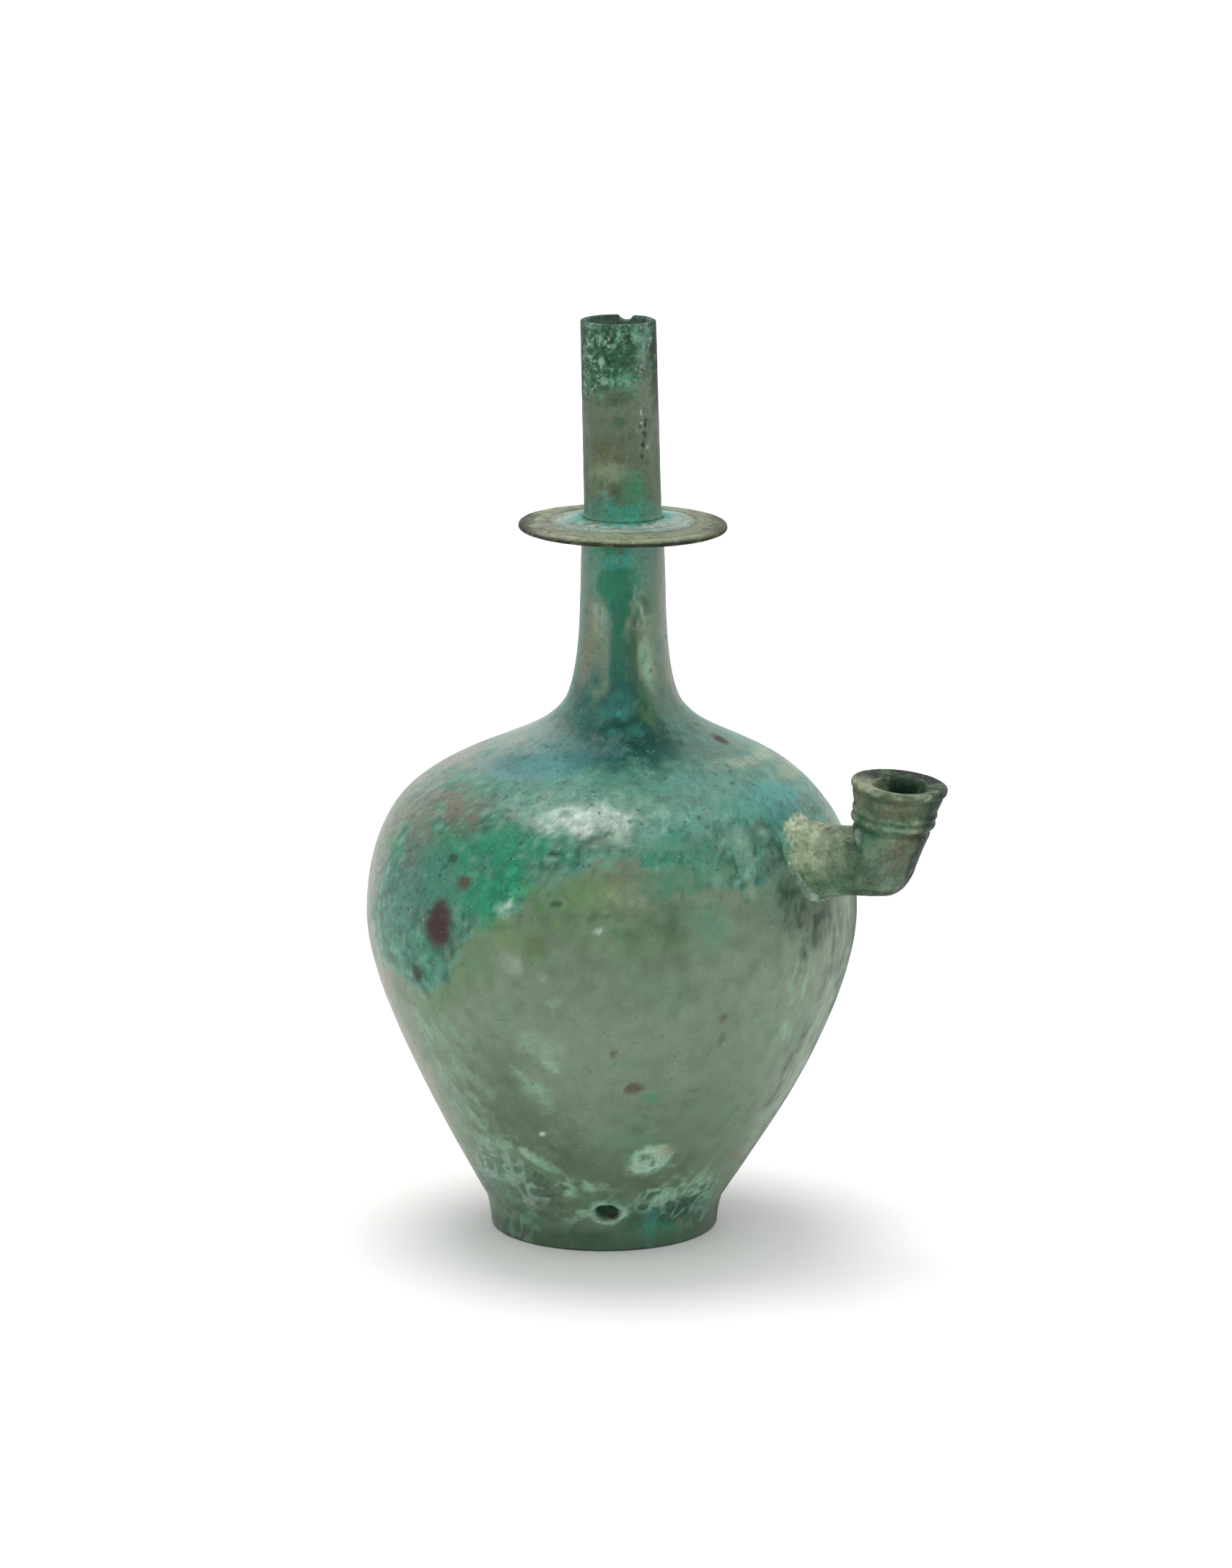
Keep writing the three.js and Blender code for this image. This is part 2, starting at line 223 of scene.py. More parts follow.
TONES = {name: tone(code) for name, code in {
    "olive": "6c8268", "light olive": "7f917b", "grey olive": "616f59", "deep olive": "54684f", "moss": "5f8559",
    "yellow moss": "778e63", "pale olive": "9aa588", "teal": "4a866f", "pale teal": "6b9f8f",
    "sea green": "619479", "malachite": "2b8f68", "bright malachite": "1ea878", "deep teal": "2d6862",
    "dark teal": "24544a", "turquoise": "58b0a3", "blue teal": "56959a", "dark malachite": "2e5a41",
    "dark green": "2b4737", "ink": "17251d", "mint": "97bfa4", "pale mint": "c2dcc8",
    "cream": "bcc8a8", "pale grey": "97a599", "cool grey": "a9bbb1", "pink grey": "9b9689",
    "brown pink": "7c7265", "brown": "5a493b", "maroon": "452a2e", "rust": "7d4c39",
    # the last colour on the next line is painted onto the shoulder as a highlight
    "khaki": "646648", "painted highlight": "dfe9e2",
    "neck green": "037a5c", "neck dark": "2c6e58", "yellow green": "97a987", "grey green": "6c8677", "foot green": "48604f",
}.items()}


class Coat:
    """Colour, specks and finish of a piece at each vertex. A mark is laid over what is there by a
    mask: old * (1 - mask) + new * mask."""

    def __init__(self, piece, colour, roughness=0.42, grit=0.3, fleck=0.0, lift=0.0):
        self.piece, self.lift = piece, lift
        self.points = points_of(piece)
        self.ragged = (0.5 * field(self.points, 6.0, 11) + 0.4 * field(self.points, 2.7, 12)
                       + 0.35 * field(self.points, 1.3, 13))
        self.patchy = 0.6 * field(self.points, 2.2, 14) + 0.4 * field(self.points, 1.0, 15)
        self.veins = field(self.points, 3.4, 17) + 0.5 * field(self.points, 1.7, 18)
        count = len(self.points)
        self.colour = np.tile(TONES[colour], (count, 1))
        self.specks = self.colour * 0.7
        self.share = np.full(count, 0.1)
        self.finish = np.tile([roughness, grit, fleck], (count, 1))

    def lay(self, mask, colour=None, finish=None):
        """Lays a colour, and a finish of [roughness, grit, flecks], over the piece by a mask."""
        cover = np.clip(mask, 0.0, 1.0)[:, None]
        if colour is not None:
            self.colour = self.colour * (1 - cover) + TONES[colour] * cover
        if finish is not None:
            self.finish = self.finish * (1 - cover) + np.array(finish) * cover

    def speckle(self, mask, colour, share):
        """Gives the specks a colour by a mask, and the share of the surface that they take."""
        cover = np.clip(mask, 0.0, 1.0)
        self.specks = self.specks * (1 - cover[:, None]) + TONES[colour] * cover[:, None]
        self.share = self.share * (1 - cover) + share * cover

    def store(self):
        """Writes the coat into the mesh as the attributes patina, specks, speck_share and finish."""
        attributes = self.piece.data.attributes
        for name, value in (("patina", held(self.colour + self.lift)),
                            ("specks", held(self.specks + self.lift)), ("finish", self.finish)):
            full = np.ones((len(value), 4))
            full[:, :3] = value
            attributes.new(name, "FLOAT_COLOR", "POINT").data.foreach_set("color", full.ravel())
        attributes.new("speck_share", "FLOAT", "POINT").data.foreach_set("value", self.share)


def oval(across, along_, ragged, rough=0.45, edge=0.3):
    """Mask of an oval mark from the two distances as shares of its half sizes: 1 inside, 0
    outside, its edge moved in and out by a random field."""
    distance = np.hypot(across, along_) + rough * ragged
    return 1.0 - smoothstep(1.0 - edge, 1.0 + edge, distance)


def wall_marks(coat, bearing, path, radius, marks):
    """Lays marks on a turned wall. Each is (bearing in degrees, distance along the wall, half
    width, half length, turn in degrees, colour, strength, kind). The sideways distance is the
    difference of bearings times the wall's radius. A spot has a fairly clean edge and a crust a sharp one, a patch a ragged
    and soft one, a blotch that and a patchy inside, wisps keep only thin streaks along the mark's length, veins
    keep a fine net, and
    specks only set the colour and share of the specks."""
    for at, far, wide, long_, turn, colour, strength, kind in marks:
        apart = (bearing - math.radians(at) + np.pi) % (2 * np.pi) - np.pi
        side, up = apart * radius, path - far
        c, s = math.cos(math.radians(turn)), math.sin(math.radians(turn))
        across, along_ = side * c + up * s, up * c - side * s
        size = (across / wide, along_ / long_)
        if kind == "spot":
            mask = oval(*size, coat.ragged, 0.4, 0.3)
        elif kind == "crust":
            mask = oval(*size, coat.ragged, 0.3, 0.12)
        elif kind == "patch":
            mask = oval(*size, coat.ragged, 0.8, 0.5)
        else:
            mask = oval(*size, coat.ragged, 1.0, 0.55)
        if kind == "veins":
            mask = mask * smoothstep(0.4, 0.1, np.abs(coat.veins) - 0.25 * coat.patchy)
        if kind == "blotch":
            mask = mask * (0.45 + 0.55 * smoothstep(-0.35, 0.2, coat.patchy))
        if kind == "wisps":
            chart = np.stack([across / 1.3, along_ / 4.5, 0 * across + at], axis=-1)
            mask = mask * smoothstep(0.0, 0.45, field(chart, 1.0, 16) + 0.4 * coat.patchy)
        if kind == "specks":
            coat.speckle(mask, colour, strength)
        else:
            coat.lay(mask * strength, colour, FINISHES.get(colour))


# Roughness, grit and flecks that go with a colour
FINISHES = {
    # finish of the highlight that is painted onto the shoulder
    "painted highlight": [0.22, 0.35, 0.0],
    "mint": [0.6, 0.9, 0.0], "pale mint": [0.6, 1.0, 0.05], "cream": [0.6, 0.9, 0.0],
    "ink": [0.6, 0.6, 0.0], "maroon": [0.55, 0.5, 0.0], "brown": [0.55, 0.6, 0.0],
    "malachite": [0.42, 0.7, 0.06], "bright malachite": [0.42, 0.8, 0.08],
    "deep teal": [0.4, 0.8, 0.1], "dark teal": [0.42, 0.8, 0.05], "turquoise": [0.42, 0.8, 0.0],
}


# Body
# ---- body -------------------------------------------------------------------------------------
BODY_COLUMNS = 384


def make_body():
    """Hollow body as one closed turned skin: flat underside, foot, outer wall, neck's top, inner wall and floor. The outer wall moves along its normal by slow waves
    of the casting, by raised crusts and by the pit in the foot."""
    turn = round_turn(BODY_COLUMNS)
    underside = np.array([[r, 0.0] for r in np.linspace(2.0, 29.0, 8)])
    edge = bezier((FOOT_RADIUS - FOOT_EDGE, 0), (FOOT_RADIUS - 0.3, 0), (FOOT_RADIUS, 0.3),
                  (FOOT_RADIUS, FOOT_EDGE), 6)[:-1]
    low = WALL_CURVE[WALL_PATH <= 30.0]
    high = WALL_CURVE[WALL_PATH >= WALL_PATH[WALL_PATH <= 30.0][-1]]
    outer = np.vstack([resampled(low, 50), resampled(high, 148)[1:]])
    path = np.concatenate([[0.0], np.cumsum(np.hypot(*np.diff(outer, axis=0).T))])
    normal = normals_of(outer)
    inner = resampled(WALL_CURVE, 22)
    inner = inner - normals_of(inner) * WALL
    inner = inner[inner[:, 1] > FLOOR + 1.5][::-1]
    top = np.array([[NECK_TOP[0] - 0.6, NECK_TOP[1]], [NECK_TOP[0] - WALL, NECK_TOP[1]]])
    bottom = np.array([[27.0, FLOOR], [14.0, FLOOR], [3.0, FLOOR]])

    grid = turned(outer, turn)
    bearing = turn[None, :] + np.zeros((len(outer), 1))
    radius, run = outer[:, 0][:, None], path[:, None]
    waves = 0.16 * field(grid, 34.0, 3) + 0.07 * field(grid, 9.0, 4) + 0.03 * field(grid, 3.0, 5)
    waves = (waves - 0.2) * smoothstep(0.0, 6.0, run) * smoothstep(0, 8, path[-1] - run)
    ragged = 0.6 * field(grid, 4.0, 6) + 0.4 * field(grid, 1.6, 7)

    def raised(at, far, wide, long_, height, turn_by=0.0, edge_=0.3):
        apart = (bearing - math.radians(at) + np.pi) % (2 * np.pi) - np.pi
        side, up = apart * radius, run - far
        c, s = math.cos(math.radians(turn_by)), math.sin(math.radians(turn_by))
        mask = oval((side * c + up * s) / wide, (up * c - side * s) / long_, ragged, 0.35, edge_)
        return mask * height * (1.0 + 0.5 * ragged)

    relief = (
        raised(-46.1, 32.3, 6.6, 5.2, 0.55)
        + raised(-85.0, 30.2, 2.0, 6.6, 0.45, 56)
        + raised(-59.6, 11.3, 5.6, 4.0, 0.45)
        - raised(-59.6, 11.3, 3.6, 2.6, 2.3, edge_=0.42)
        + raised(-71.5, 13.0, 3.0, 2.0, 0.35)
        + raised(-70.4, 20.6, 5.4, 2.4, 0.28)
        + raised(-104.2, 102.0, 4.0, 6.0, -0.2)
    )
    shift = waves + relief
    grid = grid + shift[..., None] * np.stack(
        [normal[:, 0][:, None] * np.cos(turn), normal[:, 0][:, None] * np.sin(turn),
         normal[:, 1][:, None] + np.zeros_like(turn)], axis=-1)
    whole = np.concatenate([turned(underside, turn), turned(edge, turn), grid,
                            turned(top, turn), turned(inner, turn), turned(bottom, turn)])
    whole[..., 0] += body_lean(whole[..., 2])
    piece = grid_piece("body_shell", whole, capped=True)
    return piece


def bored(piece, start, end, radius):
    """Cuts a round hole through a closed piece, from one point to another."""
    way = Vector(end) - Vector(start)
    bpy.ops.mesh.primitive_cylinder_add(vertices=96, radius=radius * MM, depth=way.length * MM)
    cutter = bpy.context.object
    cutter.rotation_mode = "QUATERNION"
    cutter.rotation_quaternion = way.to_track_quat("Z", "Y")
    cutter.location = (Vector(start) + way / 2) * MM
    bpy.context.view_layer.update()
    cut = piece.modifiers.new("hole", "BOOLEAN")
    cut.operation, cut.object, cut.solver = "DIFFERENCE", cutter, "MANIFOLD"
    shape = bpy.data.meshes.new_from_object(
        piece.evaluated_get(bpy.context.evaluated_depsgraph_get()))
    piece.modifiers.clear()
    shape.materials.clear()
    old = piece.data
    piece.data = shape
    bpy.data.meshes.remove(old)
    bpy.data.objects.remove(cutter)
    piece.data.polygons.foreach_set("use_smooth", np.ones(len(piece.data.polygons), bool))


def coat_body(piece):
    """Patina of the body: teal over the shoulder down to an uneven edge, olive below, streaks on
    the neck, and the named marks, crusts and spots. Among them is painted light: a painted highlight
    on the shoulder and on the neck, pale left edges that are partly painted reflection, and painted
    shade on the right of the lower body and along the foot's bottom edge."""
    coat = Coat(piece, "olive", roughness=0.36, grit=0.15, lift=0.007)
    x, y, z = coat.points.T
    x = x - body_lean(z)
    bearing, radius = np.arctan2(y, x), np.hypot(x, y)
    path = np.interp(z, WALL_CURVE[:, 1], WALL_PATH)
    degrees = np.degrees(bearing)
    slow, slower = field(coat.points, 16.0, 21), field(coat.points, 42.0, 22)
    middling, small, tiny = (field(coat.points, 7.0, 23), field(coat.points, 3.6, 24),
                             field(coat.points, 1.7, 25))

    coat.lay(0.35 + 0.7 * slower, "light olive")
    coat.lay(0.4 * smoothstep(0.2, 0.9, -slow), "deep olive")
    coat.lay(0.25 * smoothstep(0.1, 0.7, middling), "sea green")
    coat.lay(0.3 * smoothstep(0.0, 0.6, small), "light olive")
    coat.lay(0.3 * smoothstep(0.1, 0.6, -small), "deep olive")
    coat.lay(0.22 * smoothstep(0.25, 0.6, tiny), "sea green")
    coat.lay(0.35 * smoothstep(42, 8, z), "deep olive")

    edge = np.interp(degrees, [-180, -150, -130, -112, -104, -94, -82, -75, -63, -52, -41, -37, -27,
                               -16, 0, 20, 45, 80, 115, 150],
                     [84, 80, 76, 76, 80, 95, 104, 110, 115, 115, 113, 110, 108, 108, 112, 116, 108,
                      97, 104, 92], period=360)
    above = z - edge + 5.0 * coat.ragged + 2.0 * slow
    teal = smoothstep(-1.0, 1.6, above)
    coat.lay(0.6 * smoothstep(-16, -1, above) * smoothstep(-0.5, 0.5, slow), "moss")
    coat.lay(0.45 * smoothstep(-12, -2, above) * smoothstep(0.3, 0.6, tiny), "dark malachite")
    coat.lay(teal, "teal", [0.33, 0.45, 0.06])
    coat.speckle(teal, "dark teal", 0.16)
    coat.lay(teal * 0.35 * smoothstep(-0.1, 0.5, slow), "malachite")
    coat.lay(teal * 0.6 * smoothstep(0.0, 0.6, middling), "sea green")
    coat.lay(teal * 0.6 * smoothstep(0.05, 0.5, small), "malachite")
    coat.lay(teal * 0.6 * smoothstep(0.05, 0.5, -small), "pale teal")
    coat.lay(teal * 0.5 * smoothstep(0.1, 0.55, field(coat.points, 2.6, 28)), "deep teal")
    coat.lay(teal * 0.45 * smoothstep(0.1, 0.7, field(coat.points, 8.0, 27)), "brown pink")
    coat.lay(teal * 0.65 * smoothstep(0.2, 0.5, tiny), "dark teal")
    coat.lay(teal * 0.38 * smoothstep(0.3, 0.6, -tiny), "mint")
    coat.lay(teal * 0.5 * smoothstep(0.2, 0.04, np.abs(coat.veins + 0.3)), "dark teal")
    rim = smoothstep(-1.6, 0.4, above) * smoothstep(3.6, 1.2, above) * smoothstep(-0.3, 0.2, coat.patchy)
    coat.lay(0.55 * rim, "pale teal")
    coat.lay(0.5 * teal * smoothstep(120, 134, z), "pale teal")

    neck = smoothstep(146, 154, z)
    coat.lay(neck, "grey green", [0.42, 0.4, 0.0])
    coat.speckle(neck, "deep olive", 0.12)
    streaks = field(coat.points * [1.0, 1.0, 0.22], 4.2, 26)
    coat.lay(neck * 0.8 * smoothstep(0.1, 0.7, streaks), "teal")
    coat.lay(neck * 0.7 * smoothstep(0.2, 0.8, -streaks), "light olive")

    wall_marks(coat, bearing, path, radius, BODY_MARKS)
    # painted shade: the right side of the lower body, as seen from the camera, is darkened with foot green
    shaded = smoothstep(4, 24, degrees + 10 * coat.ragged) * smoothstep(70, 40, degrees) * smoothstep(104, 92, z)
    coat.lay(0.75 * shaded, "foot green", [0.8, 0.4, 0.0])
    coat.lay((radius < wall_radius(z) - 0.8 * WALL) * 0.9, "dark green", [0.6, 0.5, 0.0])
    # painted shade: dark green along the foot's lowest edge, where it meets the floor
    coat.lay(smoothstep(0.7, 0.1, z), "dark green", [0.6, 0.4, 0.0])
    coat.store()


# bearing, distance along the wall, half width, half length, turn, colour, strength, kind
BODY_MARKS = [
    # neck
    (-60, 219, 14, 6.5, 0, "turquoise", 0.55, "blotch"),
    (-70, 218, 10.0, 6, 0, "sea green", 0.7, "blotch"),
    (-66, 216, 12, 7, 0, "malachite", 0.6, "veins"),
    (-67, 221, 3.4, 6.0, 0, "neck green", 0.85, "blotch"),
    (-67, 213, 6.0, 5.4, 0, "neck green", 1.0, "crust"),
    (-58, 220, 3.0, 2.0, 0, "turquoise", 0.6, "blotch"),
    (-80, 219, 2.4, 1.8, 0, "turquoise", 0.5, "blotch"),
    (-67, 207, 3.6, 4.6, 0, "neck green", 1.0, "crust"),
    (-70, 206, 2.0, 3.0, 0, "deep teal", 0.6, "spot"),
    (-66, 202.6, 1.7, 3.6, 0, "neck green", 1.0, "crust"),
    (-66, 191, 2.7, 14, 0, "neck dark", 0.95, "spot"),
    (-60, 184, 3.4, 8, 0, "dark teal", 0.6, "patch"),
    (-98, 210, 4.6, 8, 0, "sea green", 0.4, "blotch"),
    (-98, 192, 4.2, 13, 0, "light olive", 0.95, "spot"),
    (-101, 200, 2.0, 6, 0, "yellow moss", 0.5, "blotch"),
    (-92, 204, 3.0, 3.6, 0, "cool grey", 0.5, "veins"),
    (-116, 192, 2.8, 16, 0, "brown pink", 0.6, "blotch"),
    (-92, 181, 4.4, 5, 0, "moss", 0.7, "blotch"),
    (-32, 206, 6.0, 10, 0, "dark malachite", 0.5, "blotch"),
    (-36, 199, 3.0, 4, 0, "dark green", 0.6, "blotch"),
    (-24, 209, 3.0, 3, 0, "dark green", 0.5, "blotch"),
    (-30, 204, 4.0, 8, 0, "yellow green", 0.65, "veins"),
    (-33, 208, 3.4, 4, 0, "mint", 0.5, "veins"),
    (-30, 214, 5.0, 6, 0, "sea green", 0.5, "blotch"),
    (-48, 190, 1.8, 12, 0, "dark malachite", 0.75, "spot"),
    # painted highlight: a pale yellow-green streak with a mint core down the right of the neck
    (-26, 189, 3.4, 10, 4, "yellow green", 0.75, "spot"),
    (-29, 190, 1.6, 8, 4, "mint", 0.7, "patch"),
    (0, 200, 4.6, 30, 0, "grey green", 0.7, "patch"),
    (10, 202, 3.4, 28, 0, "pink grey", 0.6, "patch"),
    # throat and upper shoulder
    (-68, 173, 16, 15, 0, "deep teal", 0.9, "patch"),
    (-58, 168, 17, 8, 0, "dark teal", 0.85, "patch"),
    (-44, 175, 9, 11, 0, "dark teal", 1.0, "patch"),
    (-64, 176, 12, 11, 0, "turquoise", 0.15, "specks"),
    (-76, 178, 2.6, 2.0, 0, "turquoise", 0.4, "blotch"),
    (-56, 178, 1.8, 1.6, 0, "turquoise", 0.45, "blotch"),
    (-68, 172, 2.2, 1.6, 0, "turquoise", 0.4, "blotch"),
    (-62, 181, 3.2, 3.4, 0, "turquoise", 0.3, "blotch"),
    (-50, 173, 3.4, 2.4, 20, "turquoise", 0.3, "blotch"),
    (-14, 180, 4.2, 8, 0, "grey green", 0.8, "patch"),
    (-34, 178, 2.4, 8, 6, "moss", 0.6, "blotch"),
    # pale grey and pink-grey along the left edge of the upper shoulder: partly patina, partly painted reflection of
    # the white room
    (-138, 163, 26, 9, 0, "cool grey", 0.5, "patch"),
    (-132, 150, 20, 4, 0, "pink grey", 0.6, "blotch"),
    (-110, 153, 17, 5.5, 6, "blue teal", 0.75, "patch"),
    (-102, 157, 14, 5.0, 8, "deep teal", 0.6, "patch"),
    (-96, 162, 13, 6, 0, "blue teal", 0.7, "blotch"),
    (-92, 157, 9, 5, 0, "turquoise", 0.3, "blotch"),
    (-58, 162, 24, 5, 0, "deep teal", 0.45, "blotch"),
    (8, 162, 14, 6, 0, "grey green", 0.6, "blotch"),
    (10.6, 163.5, 2.4, 2.2, 0, "maroon", 0.9, "spot"),
    (16, 152, 16, 2.6, -8, "cream", 0.6, "blotch"),
    (26, 142, 14, 2.6, -8, "pale olive", 0.7, "blotch"),
    (22, 148, 16, 1.6, -8, "rust", 0.35, "wisps"),
    # shoulder
    (-3, 135, 8.5, 8, 0, "blue teal", 0.75, "blotch"),
    (2, 139, 5, 4, 0, "turquoise", 0.5, "blotch"),
    (-22, 143, 13, 8, 0, "turquoise", 0.3, "blotch"),
    # painted highlight on the shoulder, where the overhead light reflects: a pale mint patch with a white core,
    # broken up by a net of dark teal
    (-66, 138, 24, 7.5, 0, "pale mint", 0.3, "blotch"),
    (-69, 137, 13, 4.4, 0, "painted highlight", 0.75, "blotch"),
    (-66, 138, 22, 9.0, 0, "dark teal", 0.35, "veins"),
    (-110, 134, 14, 6.0, -14, "brown pink", 0.9, "blotch"),
    (-117, 122, 7, 9.0, 16, "brown pink", 0.8, "blotch"),
    (-98.7, 115.4, 2.2, 1.8, 0, "ink", 0.6, "blotch"),
    (-93.9, 119.9, 1.6, 1.4, 0, "ink", 0.5, "blotch"),
    (-108, 110, 4.6, 3.0, 20, "dark teal", 0.5, "blotch"),
    (-88, 126, 6, 3.4, 0, "dark teal", 0.45, "blotch"),
    (-100, 128, 14, 8, 0, "dark malachite", 0.35, "blotch"),
    (-86, 114, 7.0, 5.0, 40, "bright malachite", 0.8, "blotch"),
    (-88, 118, 10, 7, 0, "dark teal", 0.5, "veins"),
    (-91, 109, 5.0, 4.0, 0, "malachite", 0.8, "blotch"),
    (-86, 108.4, 1.6, 4.0, 50, "pale mint", 0.5, "blotch"),
    (-102, 119, 12, 9, 0, "malachite", 0.7, "blotch"),
    (-106, 113, 8, 7, 0, "teal", 0.85, "patch"),
    (-118, 108, 12, 13, 0, "deep teal", 0.45, "blotch"),
    (-108, 97, 8, 5, 0, "teal", 0.5, "blotch"),
    (-90, 127, 9, 5, 0, "malachite", 0.7, "patch"),
    (-97.6, 115.3, 2.4, 2.0, 0, "brown", 0.85, "spot"),
    (-103, 121, 1.5, 1.6, 0, "ink", 0.6, "spot"),
    (-104.2, 102, 4.9, 6.3, 0, "maroon", 0.95, "spot"),
    (-112.1, 87.7, 2.0, 2.4, 0, "ink", 0.8, "spot"),
    (-74.9, 125.8, 1.3, 1.1, 0, "ink", 0.75, "spot"),
    (-84.6, 111.3, 1.0, 1.0, 0, "pale mint", 0.9, "spot"),
    (-63, 105.6, 1.0, 0.9, 0, "pale mint", 1.0, "spot"),
    (-58, 113, 13, 6.5, 0, "yellow moss", 0.55, "blotch"),
    (-72, 113, 10, 6, 20, "moss", 0.9, "blotch"),
    (-66, 111, 9, 5, 16, "yellow moss", 0.6, "veins"),
    (-65, 109.5, 6, 2.0, 0, "dark malachite", 0.6, "blotch"),
    (-73, 112.5, 1.8, 1.0, 0, "dark green", 0.8, "spot"),
    (-50, 110, 9, 5, 0, "dark malachite", 0.45, "blotch"),
    (-56, 111, 8, 4, 0, "pale olive", 0.45, "veins"),
    (-56, 104.6, 6, 1.5, 0, "dark malachite", 0.7, "blotch"),
    (-48, 106, 4, 1.8, 0, "dark green", 0.6, "blotch"),
    (-52, 112, 6, 3.0, 0, "light olive", 0.6, "blotch"),
    (-56, 104, 12, 5, 0, "moss", 0.6, "blotch"),
    (-82, 103, 3.4, 8, 52, "moss", 0.9, "blotch"),
    (-84, 100, 2.4, 4, 52, "yellow moss", 0.8, "blotch"),
    (-92, 92, 5, 5, 50, "moss", 0.4, "blotch"),
    (-83, 95.5, 2.6, 2.6, 0, "cool grey", 0.5, "blotch"),
    (-76, 101, 3.0, 2.0, 0, "khaki", 0.5, "blotch"),
    (-62, 119, 9, 1.8, 0, "rust", 0.2, "wisps"),
    (-56.2, 123.2, 4.5, 1.8, 0, "brown pink", 0.7, "blotch"),
    (-30, 129, 9, 6.4, 0, "brown pink", 0.35, "blotch"),
    (-30, 142, 12, 4.4, 0, "brown pink", 0.25, "blotch"),
    (-36, 134, 14, 7, 0, "turquoise", 0.25, "blotch"),
    (-14, 137, 9, 6, 0, "turquoise", 0.25, "blotch"),
    (-25, 120, 2.8, 8, 0, "mint", 0.6, "blotch"),
    (-35, 119, 3.0, 3.4, 0, "mint", 0.6, "blotch"),
    (-42, 108.4, 3.0, 2.6, 0, "sea green", 0.7, "blotch"),
    (-42, 121, 12, 7, 0, "teal", 0.8, "blotch"),
    (-40, 122, 10, 6, 0, "sea green", 0.5, "veins"),
    (-50, 108, 10, 5, 0, "deep olive", 0.4, "blotch"),
    (-36, 107, 4, 6, 0, "sea green", 0.6, "blotch"),
    (-15, 112, 9, 10, 0, "grey green", 0.6, "blotch"),
    (-12, 107, 6.5, 6.5, 0, "dark green", 0.8, "blotch"),
    (-4.8, 100, 6, 7, 0, "ink", 0.7, "blotch"),
    (-4.3, 101, 6, 12, 0, "dark green", 0.85, "wisps"),
    (4, 88, 5, 16, 0, "dark green", 0.8, "wisps"),
    # lower body
    (-60, 68, 24, 20, 0, "light olive", 0.55, "patch"),
    (-56, 92, 22, 10, 0, "deep olive", 0.3, "blotch"),
    (-92, 48, 15, 18, 0, "deep olive", 0.65, "patch"),
    (-104, 42, 9, 10, 0, "deep olive", 0.5, "patch"),
    (-75, 88, 2.0, 6.0, 22, "mint", 0.35, "wisps"),
    (-78, 70, 5.0, 4.4, 0, "mint", 0.4, "blotch"),
    (-77, 66, 1.2, 4.0, 50, "mint", 0.5, "blotch"),
    (-81, 55, 4.6, 4.4, 0, "mint", 0.55, "blotch"),
    (-83, 60, 1.3, 4.6, 48, "mint", 0.5, "blotch"),
    (-106, 64, 8, 16, 30, "mint", 0.28, "wisps"),
    (-114, 56, 7, 16, 24, "mint", 0.4, "wisps"),
    (-106, 40, 8, 12, 34, "mint", 0.35, "wisps"),
    # pink-grey along the left edge of the body: partly patina, partly painted reflection of the white room
    (-138, 66, 13, 26, 0, "pink grey", 0.6, "blotch"),
    (-148, 116, 16, 40, 0, "pink grey", 0.6, "patch"),
    (-81.8, 41, 0.9, 0.9, 0, "pale mint", 0.9, "spot"),
    (-85, 30.2, 1.9, 6.8, 56, "mint", 0.85, "crust"),
    (-89, 31.6, 1.0, 3.0, 50, "cream", 0.5, "blotch"),
    (-83, 30.0, 1.6, 2.6, 30, "moss", 0.5, "blotch"),
    (-32.6, 79.3, 1.4, 1.2, 0, "brown", 0.6, "spot"),
    (-32, 73, 1.2, 1.8, 0, "brown", 0.5, "spot"),
    (-59.7, 70, 1.2, 0.8, 0, "brown", 0.6, "spot"),
    (-54.3, 58.4, 2.4, 1.7, 10, "brown", 0.8, "spot"),
    (-49, 55, 2.8, 1.4, 0, "malachite", 0.6, "blotch"),
    (-60, 66, 8, 1.6, 0, "sea green", 0.5, "wisps"),
    (-9, 82, 6, 12, 8, "mint", 0.5, "wisps"),
    (1.3, 82.7, 2.4, 5.4, 0, "dark green", 0.7, "blotch"),
    (-1, 66, 4.0, 12, -10, "dark green", 0.7, "wisps"),
    (0, 50, 4.4, 12, 0, "dark green", 0.75, "wisps"),
    (6, 76, 4, 22, 0, "pale grey", 0.4, "wisps"),
    (16, 60, 8, 26, 0, "grey green", 0.5, "blotch"),
    (-5.4, 27.9, 1.8, 1.6, 0, "brown pink", 0.7, "spot"),
    (-21, 24.3, 3.6, 3.2, 0, "mint", 0.5, "wisps"),
    # crust and foot
    (-62, 1, 400, 5.5, 0, "foot green", 0.65, "patch"),
    (-60, 28, 24, 8, 0, "deep olive", 0.4, "blotch"),
    (-46.1, 32.3, 6.4, 5.2, 0, "sea green", 0.9, "crust"),
    (-46.1, 32.3, 5.9, 4.7, 0, "mint", 0.95, "crust"),
    (-47.5, 30.2, 5.0, 3.0, 0, "pale mint", 0.5, "blotch"),
    (-44.0, 35.0, 4.6, 1.6, 0, "cream", 0.7, "blotch"),
    (-40, 34.6, 3.0, 1.2, -20, "pink grey", 0.7, "spot"),
    (-47.5, 33.4, 2.0, 1.4, 0, "dark malachite", 0.8, "blotch"),
    (-44.5, 30.6, 1.0, 0.9, 0, "dark green", 0.6, "spot"),
    (-88, 19, 8.5, 5.0, -20, "dark green", 0.7, "blotch"),
    (-104, 17, 13, 9.5, 0, "foot green", 0.8, "blotch"),
    (-108, 17, 10, 13, 0, "cool grey", 0.9, "veins"),
    (-104, 36, 9, 10, 0, "mint", 0.4, "veins"),
    (-109, 13, 4.4, 3.4, 0, "mint", 0.6, "blotch"),
